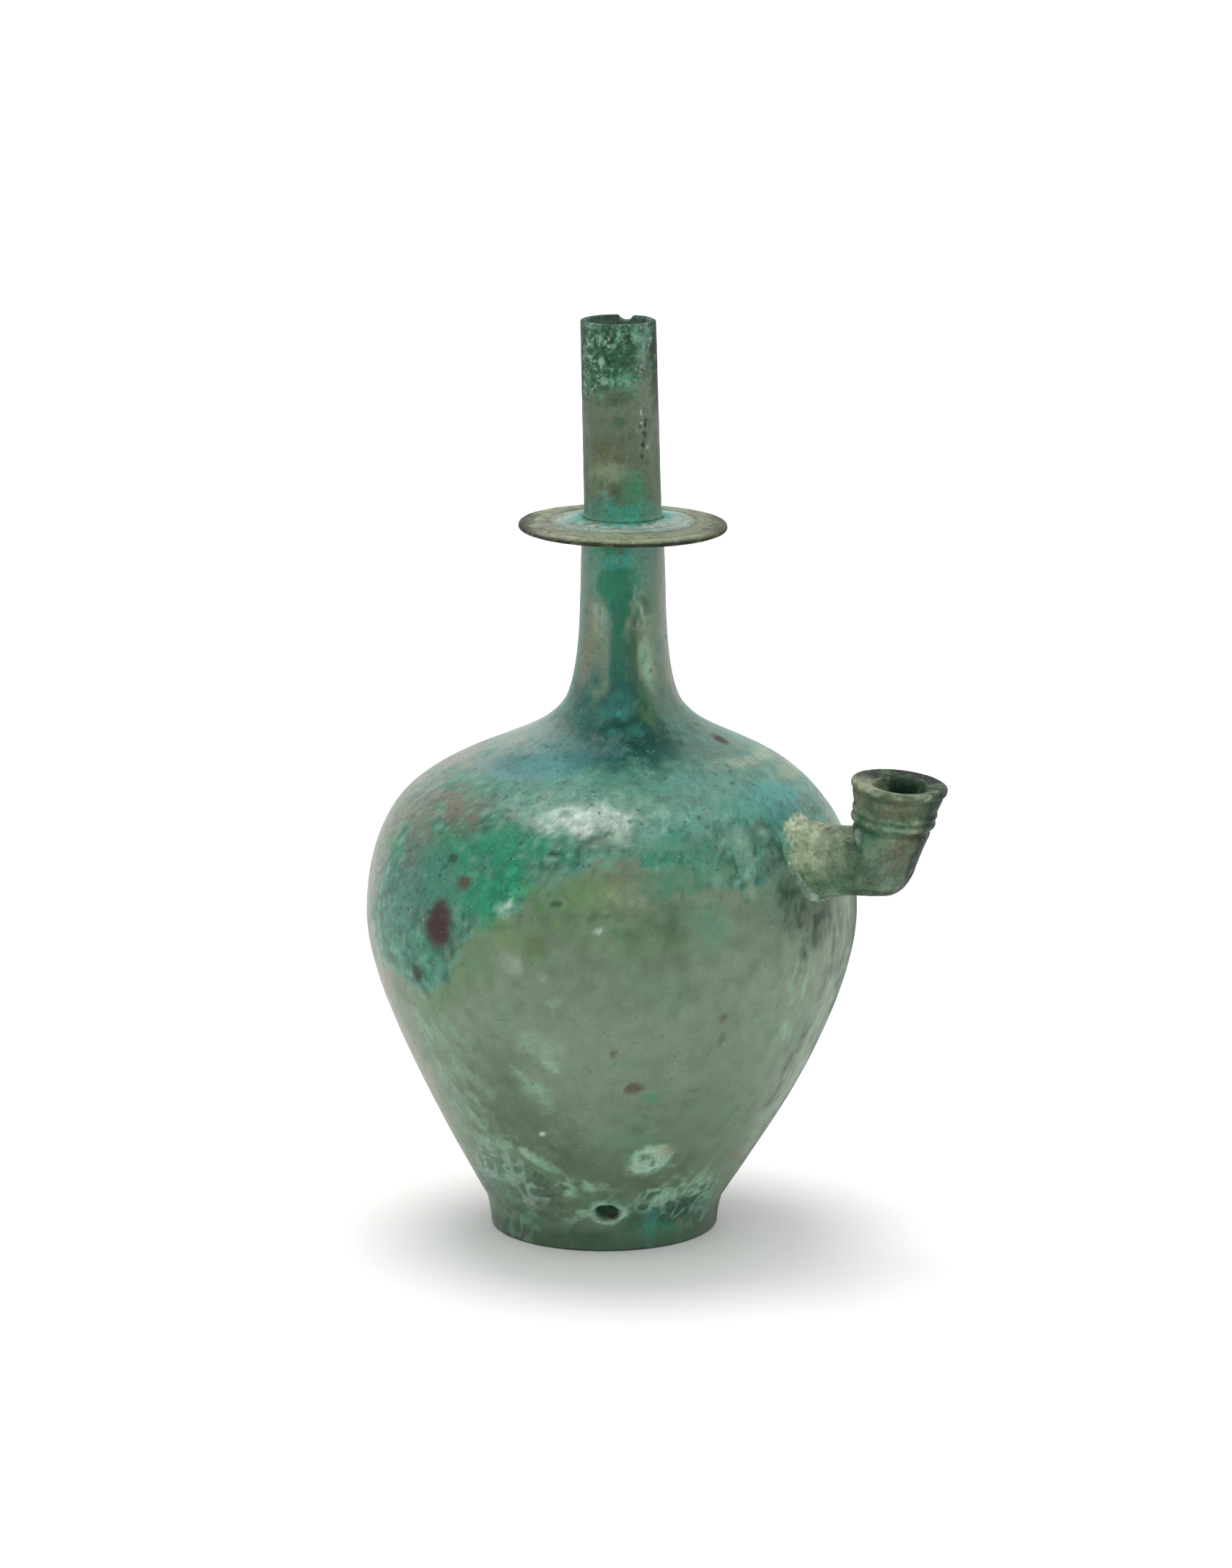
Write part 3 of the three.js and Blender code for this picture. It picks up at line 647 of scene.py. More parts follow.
    (-100, 8, 5.0, 3.4, 0, "sea green", 0.6, "blotch"),
    (-104, 21, 4.0, 2.0, 30, "mint", 0.55, "blotch"),
    (-116, 18, 3.0, 4.0, 0, "cool grey", 0.5, "blotch"),
    (-108, 19, 9, 9, 0, "sea green", 0.5, "blotch"),
    (-104, 14, 7, 3.0, 0, "mint", 0.4, "wisps"),
    (-96, 9, 12, 2.6, 0, "dark green", 0.4, "blotch"),
    (-118, 10, 9, 9, 0, "dark green", 0.5, "blotch"),
    (-110, 6, 12, 5, 0, "sea green", 0.5, "veins"),
    (-86, 8, 9, 6, 0, "grey green", 0.4, "blotch"),
    (-76, 3, 9, 2.4, 0, "dark green", 0.3, "blotch"),
    (-40, 8, 9, 4, 0, "dark malachite", 0.4, "blotch"),
    (-8, 8, 8, 8, 0, "dark green", 0.5, "blotch"),
    (-12, 9, 7, 6, 0, "mint", 0.45, "veins"),
    (-70.4, 20.0, 7.4, 3.8, 0, "mint", 0.75, "veins"),
    (-66, 21.4, 2.2, 1.6, 0, "mint", 0.7, "blotch"),
    (-75, 18.6, 2.6, 1.3, 0, "mint", 0.7, "blotch"),
    (-46.7, 13.0, 2.0, 5.0, 0, "brown", 0.5, "blotch"),
    (-27, 10, 10, 5.5, 0, "deep teal", 0.6, "blotch"),
    (-27, 11, 10.5, 7.0, 0, "dark teal", 0.6, "patch"),
    (-24, 15, 11, 7.0, 0, "mint", 0.95, "veins"),
    (-37, 7, 2.6, 4.4, 0, "turquoise", 0.6, "blotch"),
    (-17, 22, 4.0, 2.6, 20, "mint", 0.6, "blotch"),
    (-30, 16.5, 5.0, 1.6, 10, "mint", 0.7, "blotch"),
    (-10, 13, 3.0, 3.4, 0, "sea green", 0.6, "blotch"),
    (-33.5, 5, 6.0, 2.4, 0, "malachite", 0.6, "blotch"),
    (-30, 17, 9, 2.6, 0, "mint", 0.6, "wisps"),
    (-24, 13, 3.5, 2.6, 0, "dark green", 0.8, "blotch"),
    (-30, 4, 12, 2.4, 0, "teal", 0.5, "blotch"),
    (-60, 11.3, 7.4, 5.0, 0, "sea green", 0.5, "blotch"),
    (-59.6, 11.2, 5.2, 3.9, 0, "mint", 0.9, "crust"),
    (-60, 11.3, 4.6, 3.4, 0, "pale mint", 0.4, "blotch"),
    (-69.5, 11.5, 2.8, 1.9, 0, "mint", 0.85, "crust"),
    (-75, 9.5, 4.0, 2.4, 0, "mint", 0.5, "veins"),
    (-59.6, 11.3, 3.5, 2.5, 0, "ink", 1.0, "spot"),
]


# Disc and tube
# ---- disc and tube ----------------------------------------------------------------------------
def make_disc():
    """Flange disc as one closed ring: a thin cone that falls to its rim, with a step ring, two
    faint turned grooves and a rolled edge, its rim a little uneven and lower on the spout's side."""
    turn = round_turn(DISC_COLUMNS)
    bore = NECK_TOP[0] - WALL

    def fall(radius):
        return DISC_FALL * (radius - DISC_HUB_RADIUS) / (DISC_RADIUS - DISC_HUB_RADIUS)

    under = np.array([[r, -fall(max(r, DISC_HUB_RADIUS))] for r in
                      [bore, DISC_HUB_RADIUS, *np.linspace(14, DISC_RADIUS - 0.55, UNDER_ROWS - 2)]])
    roll = np.radians(np.linspace(-80, 80, RIM_ROWS))
    half = DISC_THICKNESS / 2
    rim = np.stack([DISC_RADIUS - 0.6 + 0.6 * np.cos(roll), half + half * np.sin(roll)
                    - fall(DISC_RADIUS - 0.6 + 0.6 * np.cos(roll))], axis=-1)
    radii = np.linspace(DISC_RADIUS - 0.8, bore, 70)
    share = np.clip((radii - DISC_HUB_RADIUS) / (DISC_STEP_RADIUS - DISC_HUB_RADIUS), 0.0, 1.0)
    step = DISC_STEP * smoothstep(DISC_STEP_RADIUS - 0.15, DISC_STEP_RADIUS + 0.35, radii)
    groove = 0.14 * np.exp(-((radii - 24.2) / 0.35) ** 2) + 0.12 * np.exp(-((radii - 15.6) / 0.3) ** 2)
    lip = 0.16 * smoothstep(26.2, 27.0, radii)
    sunk = share * (DISC_STEP - step + 0.16)
    top = DISC_THICKNESS - fall(np.maximum(radii, DISC_HUB_RADIUS)) - sunk - groove + lip
    over = np.stack([radii, top], axis=-1)
    profile = np.vstack([under, rim, over])
    grid = turned(profile, turn)
    share = np.clip(profile[:, 0] - DISC_HUB_RADIUS, 0, None)[:, None] / (DISC_RADIUS - DISC_HUB_RADIUS)
    grid[..., 2] -= DISC_DROP * share * np.cos(turn)
    grid[..., 2] += share * 0.09 * field(grid, 14.0, 31) + 0.03 * field(grid, 2.4, 32)
    shrink = 1.0 - 0.004 * share * (1.0 + field(grid, 5.0, 33))
    grid[..., :2] *= shrink[..., None]
    grid += [NECK_LEAN, 0.0, NECK_TOP[1]]
    return grid_piece("flange_plate", grid, ring=True)


def coat_disc(piece):
    """Patina of the disc: turquoise close to the tube, pale grey with turned rings further out, a
    cream-grey outer band whose left and right sides, as seen from the camera, carry painted shade,
    and painted shade that makes the lower edge nearly black."""
    coat = Coat(piece, "pale olive", roughness=0.5, grit=0.5, fleck=0.1, lift=0.014)
    x, y = (coat.points - [NECK_LEAN, 0.0, 0.0])[:, :2].T
    radius, bearing = np.hypot(x, y), np.degrees(np.arctan2(y, x))
    ragged = coat.ragged
    coat.speckle(np.ones_like(radius), "khaki", 0.3)
    coat.lay(smoothstep(-0.2, 0.6, field(coat.points, 6.0, 41)) * 0.6, "pink grey")
    coat.lay(0.9 * smoothstep(19.6, 18.6, radius + 0.8 * ragged), "cool grey")
    coat.lay(0.3 * smoothstep(0.0, 0.6, field(coat.points, 4.0, 44)) * (radius < 20), "sea green")
    coat.lay(0.85 * smoothstep(15.4, 12.5, radius + 2.6 * ragged), "turquoise")
    coat.lay(0.5 * smoothstep(12.8, 11.2, radius + 0.8 * ragged), "malachite")
    for far, wide, colour, strength in ((20.3, 0.7, "dark malachite", 0.7), (22.3, 0.6, "grey green", 0.85),
                                        (24.4, 0.6, "khaki", 0.9), (16.4, 0.5, "grey green", 0.9), (18.6, 0.5, "grey green", 0.8),
                                        (26.6, 0.4, "cream", 0.4)):
        ring = np.exp(-((radius - far + 0.3 * ragged) / wide) ** 2)
        coat.lay(strength * ring * (0.6 + 0.8 * ragged), colour)
    # painted shade: the outer band turns dark green, then near black, towards its left and right sides as seen from
    # the camera
    apart = (bearing + 60.0 + 180.0) % 360.0 - 180.0
    painted_end_shade = smoothstep(50, 74, np.abs(apart)) * smoothstep(126, 104, np.abs(apart))
    coat.lay(0.85 * painted_end_shade * smoothstep(22.5, 25.5, radius + 2.5 * ragged), "dark green")
    coat.lay(0.95 * painted_end_shade * smoothstep(25.6, 27.0, radius + ragged), "ink")
    coat.lay(0.5 * smoothstep(26.8, 27.8, radius) * smoothstep(-0.4, 0.6, ragged), "khaki")
    coat.lay(0.5 * smoothstep(0.1, 0.6, field(coat.points, 2.4, 42)) * (radius > 19), "khaki")
    right = smoothstep(0.0, 70.0, apart) * smoothstep(150.0, 100.0, apart) * (radius > 19)
    coat.lay(0.35 * right, "khaki")
    # painted shade: the rim's lower half and the underside near it are laid near black
    row = np.arange(len(radius)) // DISC_COLUMNS - UNDER_ROWS
    lower = smoothstep(0.75, 0.5, row / RIM_ROWS + 0.12 * ragged)
    coat.lay(0.9 * lower, "ink", [0.6, 0.5, 0.0])
    coat.lay(0.6 * lower * smoothstep(27.6, 26.0, radius), "dark malachite")
    coat.store()


def make_tube():
    """Mouth tube as one closed ring of its outer and inner wall, narrowing upwards and leaning
    back, its rim worn uneven and with a round chip: the rim's height falls by the chip's arc."""
    turn = round_turn(192)
    heights = np.linspace(0, TUBE_LENGTH - 0.5, 110)
    outer = np.stack([TUBE_RADIUS + (TUBE_MOUTH_RADIUS - TUBE_RADIUS) * heights / TUBE_LENGTH
                      + 0.7 * np.exp(-heights / 0.5), heights], -1)
    edge = np.array([[TUBE_MOUTH_RADIUS - 0.12, TUBE_LENGTH - 0.14], [TUBE_MOUTH_RADIUS - 0.4, TUBE_LENGTH],
                     [TUBE_MOUTH_RADIUS - TUBE_WALL + 0.4, TUBE_LENGTH],
                     [TUBE_MOUTH_RADIUS - TUBE_WALL + 0.1, TUBE_LENGTH - 0.2]])
    inner = outer[::-3] - [TUBE_WALL, 0.0]
    profile = np.vstack([outer, edge, inner])
    grid = turned(profile, turn)
    up = profile[:, 1][:, None]
    worn = 0.05 * field(grid, 12.0, 51) + 0.035 * field(grid, 2.6, 52)
    outside = np.concatenate([np.ones(len(outer)), np.zeros(len(edge) + len(inner))])[:, None]
    grid[..., :2] *= (1.0 + outside * (worn - 0.08) / TUBE_RADIUS)[..., None]
    apart = (turn - math.radians(CHIP_BEARING) + np.pi) % (2 * np.pi) - np.pi
    across = apart * TUBE_MOUTH_RADIUS / (CHIP_WIDTH / 2)
    notch = CHIP_DEPTH * np.clip(1.0 - across ** 2, 0.0, None) ** 0.7
    dents = 0.10 * np.clip(field(np.stack([turn * 9.0, turn * 0, turn * 0], -1), 2.3, 53), -1, 0.2) - 0.02
    drop = (notch - dents)[None, :] * smoothstep(TUBE_LENGTH - 9.0, TUBE_LENGTH, up)
    grid[..., 2] -= drop
    grid[..., 0] += NECK_LEAN + (MOUTH_LEAN - NECK_LEAN) * up / TUBE_LENGTH
    grid[..., 2] += TUBE_BASE
    return grid_piece("mouth_pipe", grid, ring=True)


# bearing, height on the tube, half width, half length, turn, colour, strength, kind
TUBE_MARKS = [
    (-60, 40, 20, 4, 0, "dark malachite", 0.5, "blotch"),
    (-86, 43, 6.0, 11, 0, "sea green", 0.15, "specks"),
    (-52, 43, 7.0, 11, 0, "sea green", 0.15, "specks"),
    (-84, 38, 1.0, 1.1, 0, "mint", 0.7, "spot"),
    (-88, 43, 1.0, 1.2, 0, "mint", 0.6, "spot"),
    (-48, 37.5, 2.4, 1.6, 0, "sea green", 0.8, "blotch"),
    (-60, 33, 5.0, 1.2, 14, "dark malachite", 0.6, "blotch"),
    (-12, 38, 3.6, 22, 0, "cool grey", 0.2, "patch"),
    # painted shade: the next five marks darken the tube along its right edge and its left edge as seen from the
    # camera
    (16, 44, 4.4, 12, 0, "ink", 0.95, "patch"),
    (14, 20, 3.0, 20, 0, "dark green", 0.6, "patch"),
    (-136, 20, 2.6, 24, 0, "dark green", 0.5, "patch"),
    (-140, 40, 3.5, 16, 0, "dark malachite", 0.6, "blotch"),
    (-138, 43, 2.6, 11, 0, "ink", 0.6, "patch"),
    (-62, 27, 1.6, 1.6, 0, "dark malachite", 0.5, "spot"),
    (-70, 18, 5.0, 5.0, 0, "khaki", 0.5, "wisps"),
    (-58, 20, 3.4, 4.0, 0, "brown", 0.35, "wisps"),
    (-72, 13, 5.5, 2.6, 14, "pale olive", 0.45, "blotch"),
    (-98, 11, 3.0, 4.0, 0, "yellow moss", 0.4, "blotch"),
    (-86, 8, 5.0, 3.0, 0, "dark malachite", 0.55, "wisps"),
    (-64, 8, 6.0, 3.0, 0, "khaki", 0.4, "wisps"),
    (-42, 9, 3.6, 6.0, 10, "malachite", 0.6, "blotch"),
    (-66, 2.0, 6.0, 2.6, 0, "malachite", 0.7, "blotch"),
    (-92, 3, 5.0, 3.0, 0, "turquoise", 0.5, "blotch"),
    (-20, 3, 5.0, 3.0, 0, "turquoise", 0.6, "blotch"),
    (-10, 22, 3.4, 18, 0, "grey olive", 0.7, "blotch"),
    (-22, 23, 2.4, 8.0, 0, "ink", 0.3, "specks"),
    (-21, 26, 0.5, 0.8, 0, "ink", 0.8, "spot"),
    (-25, 21, 0.5, 0.7, 0, "ink", 0.8, "spot"),
    (-20, 23.0, 0.5, 0.6, 0, "ink", 0.7, "spot"),
    (-28, 17.5, 0.5, 0.8, 0, "ink", 0.7, "spot"),
    (-28, 26.4, 0.5, 0.5, 0, "pale mint", 0.7, "spot"),
    (-27, 29.5, 0.4, 0.7, 0, "pale mint", 0.6, "spot"),
    (-18, 20.0, 0.5, 0.5, 0, "pale mint", 0.6, "spot"),
]


def coat_tube(piece):
    """Patina of the mouth tube: dark malachite with pale specks near the mouth down to a slanting
    edge, grey-olive in the middle, teal at its foot, a mottled dark mouth and a grey-green bore.
    Painted shade darkens its left and right edges, the bore further down and the rim's far side."""
    coat = Coat(piece, "grey olive", roughness=0.45, grit=0.4, lift=0.018)
    x, y, z = coat.points.T
    up = z - TUBE_BASE
    x = x - (NECK_LEAN + (MOUTH_LEAN - NECK_LEAN) * up / TUBE_LENGTH)
    radius, bearing = np.hypot(x, y), np.arctan2(y, x)
    small, tiny = field(coat.points, 3.2, 62), field(coat.points, 1.6, 63)
    coat.lay(0.5 * smoothstep(0.0, 0.8, field(coat.points, 9.0, 61)), "olive")
    coat.lay(0.3 * smoothstep(0.1, 0.6, small), "deep olive")
    across = radius * np.cos(bearing - math.radians(30.0)) / TUBE_RADIUS
    top = smoothstep(-1.2, 1.2, up - 35.6 - 2.0 * across + 3.0 * coat.ragged)
    coat.lay(top, "dark malachite", [0.5, 1.0, 0.25])
    coat.lay(top * 0.6 * smoothstep(0.1, 0.6, small), "dark green")
    coat.lay(top * 0.4 * smoothstep(0.15, 0.6, -small), "grey green")
    coat.lay(top * 0.6 * smoothstep(0.24, 0.06, np.abs(coat.veins)), "sea green")
    coat.lay(top * 0.7 * smoothstep(0.1, 0.5, field(coat.points, 1.9, 64)), "dark green")
    coat.lay(top * 0.55 * smoothstep(0.35, 0.7, tiny), "mint")
    finest = field(coat.points, 1.1, 65)
    coat.lay(top * 0.6 * smoothstep(0.25, 0.5, finest), "sea green")
    coat.lay(top * 0.6 * smoothstep(0.25, 0.5, -finest), "dark green")
    coat.speckle(top, "sea green", 0.2)
    coat.lay(0.7 * smoothstep(7, 1, up + 3 * coat.ragged), "sea green")
    wall_marks(coat, bearing, up, radius, TUBE_MARKS)
    inside = radius < TUBE_MOUTH_RADIUS - 0.5
    coat.lay(0.85 * inside, "grey green", [0.6, 0.7, 0.0])
    # painted shade: the bore darkens further down from the mouth
    coat.lay(0.9 * inside * smoothstep(TUBE_LENGTH - 5, TUBE_LENGTH - 9, up), "dark green")
    rim = smoothstep(TUBE_LENGTH - 1.0, TUBE_LENGTH - 0.2, up)
    coat.lay(0.85 * rim * smoothstep(-0.2, 0.3, coat.patchy), "dark green")
    coat.lay(0.7 * rim * smoothstep(0.1, 0.5, -coat.patchy), "sea green")
    # painted shade on the far side of the rim, away from the camera
    back = rim * smoothstep(0.2, 0.8, np.cos(bearing - math.radians(120.0)))
    coat.lay(0.8 * back, "dark green")
    coat.store()


# Spout
# ---- spout ------------------------------------------------------------------------------------
RISE, LEAN = math.radians(ARM_RISE), math.radians(RIM_LEAN)
ARM_WAY = np.array([math.cos(RISE), 0.0, math.sin(RISE)])
CUP_WAY = np.array([math.sin(LEAN), 0.0, math.cos(LEAN)])
SIDE = np.array([0.0, 1.0, 0.0])
ARM_OUT = np.array([math.sin(RISE), 0.0, -math.cos(RISE)])
CUP_OUT = np.array([math.cos(LEAN), 0.0, -math.sin(LEAN)])
BEND = math.pi / 2 - RISE - LEAN


def root_distance(offset, inset):
    """For points that lie off the spout's axis by an offset, how far back from the elbow the line
    along the arm meets the vessel's wall moved by inset: found by stepping to the wall a few
    times, each time at the height reached."""
    back = np.full(offset.shape[:-1], -20.0)
    for _ in range(12):
        place = ELBOW + offset + back[..., None] * ARM_WAY
        reach = np.clip((wall_radius(place[..., 2]) + inset) ** 2 - place[..., 1] ** 2, 1.0, None)
        x = body_lean(place[..., 2]) + np.sqrt(reach)
        back = (x - ELBOW[0] - offset[..., 0]) / ARM_WAY[0]
    return back


def elbow_skin(turn, arm_radius, arm_rows, bend_rows, cup_profile):
    """Skin of a mitred elbow: arm, bend and upright part, as a grid of rows along the way and
    columns round it. On the outer side of the bend a point turns about the elbow's centre at a
    distance that is drawn in along the arm by the tuck; on the inner side both straight parts
    run to the mitre, which lies a point's own inward distance times the tangent of half the bend
    before the centre."""
    out, side = np.cos(turn), np.sin(turn)
    inward = np.clip(-out, 0.0, None)
    mitre = math.tan(BEND / 2)
    rows = []
    offset = arm_radius * (out[:, None] * ARM_OUT + side[:, None] * SIDE)
    start = root_distance(offset, -1.2)
    end = -inward * arm_radius * mitre
    for share in np.linspace(0.0, 1.0, arm_rows):
        far = start + (end - start) * share
        flare = ROOT_FLARE * np.clip(1.0 - (far - start) / ROOT_FLARE_LENGTH, 0.0, 1.0) * (arm_radius > 8)
        radial = (arm_radius + flare)[:, None] * (out[:, None] * ARM_OUT + side[:, None] * SIDE)
        rows.append(ELBOW + radial + far[:, None] * ARM_WAY)
    for angle in np.linspace(0.0, BEND, bend_rows + 2)[1:-1]:
        tuck = 0.78 + 0.07 * smoothstep(math.pi / 4, BEND, angle)
        away = math.cos(angle) * ARM_OUT + tuck * math.sin(angle) * ARM_WAY
        turned_part = ELBOW + arm_radius * (out[:, None] * away + side[:, None] * SIDE)
        rows.append(np.where((out >= 0)[:, None], turned_part, rows[arm_rows - 1]))
    for radius, height in cup_profile:
        least = inward * radius * mitre
        far = np.maximum(height, least)
        skew = far * math.tan(math.radians(CUP_SKEW))
        tuck = np.where(out > 0, 1.0 - SHANK_TUCK * max(1.0 - height / 9.2, 0.0), 1.0)
        rows.append(ELBOW + radius * ((out * tuck)[:, None] * CUP_OUT + side[:, None] * SIDE)
                    + far[:, None] * CUP_WAY + skew[:, None] * CUP_OUT)
    return np.array(rows)


def softened(grid, rows, times):
    """Smooths a stretch of rows: each inner row moves half way to the mean of its neighbours."""
    grid = grid.copy()
    low, high = rows
    for _ in range(times):
        middle = (grid[low - 1:high - 1] + grid[low + 1:high + 1]) / 2
        grid[low:high] = (grid[low:high] + middle) / 2
    return grid


SPOUT_COLUMNS, ARM_ROWS, BEND_ROWS = 240, 40, 22
CUP_OUTSIDE = [
    (9.4, 0.0), (9.5, 1.5), (9.7, 3.0), (9.9, 4.6), (10.1, 6.2), (10.3, 7.8), (10.4, 8.8), (10.35, 9.3),
    (10.05, 9.7), (9.85, 10.1), (9.95, 10.5), (10.45, 10.75), (10.95, 11.1), (11.25, 11.6), (11.35, 12.1),
    (11.25, 12.6), (11.0, 13.0), (10.9, 13.3), (11.0, 13.6), (11.25, 14.0), (11.4, 14.5), (11.35, 15.0),
    (11.2, 15.5), (11.15, 15.9), (11.35, 16.4), (11.6, 17.2), (11.85, 18.0), (12.05, 18.8), (12.2, 19.6),
    (12.25, 20.1), (12.45, 20.4), (12.75, 20.65), (12.92, 21.0), (12.97, 21.4), (12.92, 21.8),
    (12.78, 22.08), (12.45, 22.26), (12.05, 22.3), (11.6, 22.26), (11.0, 22.15), (10.2, 22.0), (9.3, 21.84),
    (8.5, 21.68), (7.9, 21.52),
]
CUP_INSIDE = [
    (7.5, 21.25), (7.2, 20.7), (7.05, 19.6), (6.9, 18.0), (6.7, 16.0), (6.5, 14.2), (6.2, 12.8),
    (6.0, 11.4), (6.0, 8.0), (6.0, 5.0), (6.0, 2.0), (6.0, 0.0),
]


def make_spout():
    """Spout as one closed ring of its outer and inner skin: the outer one runs from the root out
    to the cup's rim, the inner one back down the bore. The outside is worn by slow and fine
    waves, and the rim dips a little where it is worn."""
    turn = round_turn(SPOUT_COLUMNS)
    outside = elbow_skin(turn, ARM_RADIUS, ARM_ROWS, BEND_ROWS, CUP_OUTSIDE)
    outside = softened(outside, (32, 68), 8)
    inside = elbow_skin(turn, BORE_RADIUS, 12, 8, CUP_INSIDE[::-1])[::-1]
    grid = np.concatenate([outside, inside])
    centre = np.concatenate([outside.mean(axis=1, keepdims=True), inside.mean(axis=1, keepdims=True)])
    away = grid - centre
    away /= np.linalg.norm(away, axis=-1, keepdims=True)
    worn = 0.14 * field(grid, 7.0, 71) + 0.1 * field(grid, 2.6, 72) + 0.05 * field(grid, 1.1, 73) - 0.08
    grid[:len(outside)] += (worn[..., None] * away)[:len(outside)]
    crust = np.linalg.norm(grid - np.array([70.0, -8.0, 115.0]), axis=-1) + 2.0 * field(grid, 3.0, 74)
    lumps = 0.15 * (1.0 + field(grid, 1.5, 75)) * smoothstep(10.0, 5.0, crust)
    grid[:len(outside)] += (lumps[..., None] * away)[:len(outside)]
    grid[..., 2] = np.minimum(grid[..., 2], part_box("side_spout")[1].z / MM)
    return grid_piece("spout_casting", grid, ring=True)


# place in the vessel's frame, size, colour, strength, kind
SPOUT_MARKS = [
    ((68, -6, 116), 6.0, "yellow green", 0.6, "blotch"),
    ((74, -9, 113), 5.0, "pale olive", 0.35, "blotch"),
    ((68, -3, 119), 5.0, "pink grey", 0.6, "blotch"),
    ((68, -9, 112), 3.6, "cream", 0.45, "blotch"),
    ((77, -5, 119), 4.0, "pale olive", 0.35, "blotch"),
    ((72, -7, 114), 9, "dark malachite", 0.15, "specks"),
    ((70, -3, 120.0), 1.6, "brown", 0.8, "spot"),
    ((66, -8, 115), 1.0, "rust", 0.6, "spot"),
    ((69, -9, 107), 3.0, "moss", 0.6, "blotch"),
    ((80, -6, 122), 3.4, "pink grey", 0.6, "blotch"),
    ((84, -9, 131), 4.0, "pink grey", 0.5, "blotch"),
    ((88, -11, 130), 4.0, "dark malachite", 0.45, "blotch"),
    ((94, -10, 129), 4.5, "brown", 0.4, "blotch"),
    ((99, -7, 130), 4.0, "dark green", 0.6, "blotch"),
    ((81.5, -8, 122), 2.6, "dark green", 0.85, "blotch"),
    ((80, -9, 116.5), 2.4, "dark green", 0.7, "blotch"),
    ((82.0, -9, 119.0), 3.0, "dark green", 0.7, "blotch"),
    ((82.2, -9, 119.4), 1.9, "cool grey", 0.85, "spot"),
    ((78, -8, 119.0), 1.6, "blue teal", 0.5, "blotch"),
    ((86, -10, 121), 3.4, "dark malachite", 0.8, "blotch"),
    ((92, -9, 109), 7.0, "foot green", 0.45, "patch"),
    ((84, -6, 104), 6.0, "foot green", 0.6, "patch"),
    ((91, -11, 127.5), 4.6, "foot green", 0.45, "blotch"),
    ((92, -11, 121.5), 4.0, "sea green", 0.5, "blotch"),
    ((95, -9, 118), 3.5, "rust", 0.35, "blotch"),
    ((86, -10, 117), 3.6, "sea green", 0.4, "blotch"),
    ((82, -9, 113.0), 2.1, "dark malachite", 0.75, "blotch"),
    ((94, -9, 114), 4.2, "brown pink", 0.6, "blotch"),
    ((90, -9, 108), 4.6, "grey green", 0.5, "blotch"),
    ((97, -4, 121), 3.5, "brown", 0.6, "blotch"),
    # painted shade: the next four marks darken the cup and the elbow on their right side as seen from the camera
    ((100, 4, 129), 6.5, "dark green", 0.9, "patch"),
    ((98, 4, 121), 6.0, "dark green", 0.9, "patch"),
    ((96, 4, 114), 5.5, "dark green", 0.85, "patch"),
    ((92, 3, 106), 5.0, "dark green", 0.8, "patch"),
    ((77, -5, 128), 3.4, "dark green", 0.6, "blotch"),
    ((96, -4, 114), 4.0, "brown", 0.5, "blotch"),
    ((84, -3, 101), 4.4, "dark green", 0.6, "blotch"),
    ((90, -8, 104.5), 2.2, "cool grey", 0.5, "blotch"),
    ((76, -7, 103), 5.0, "sea green", 0.5, "blotch"),
    ((76, -9, 106), 4.0, "dark malachite", 0.3, "blotch"),
]


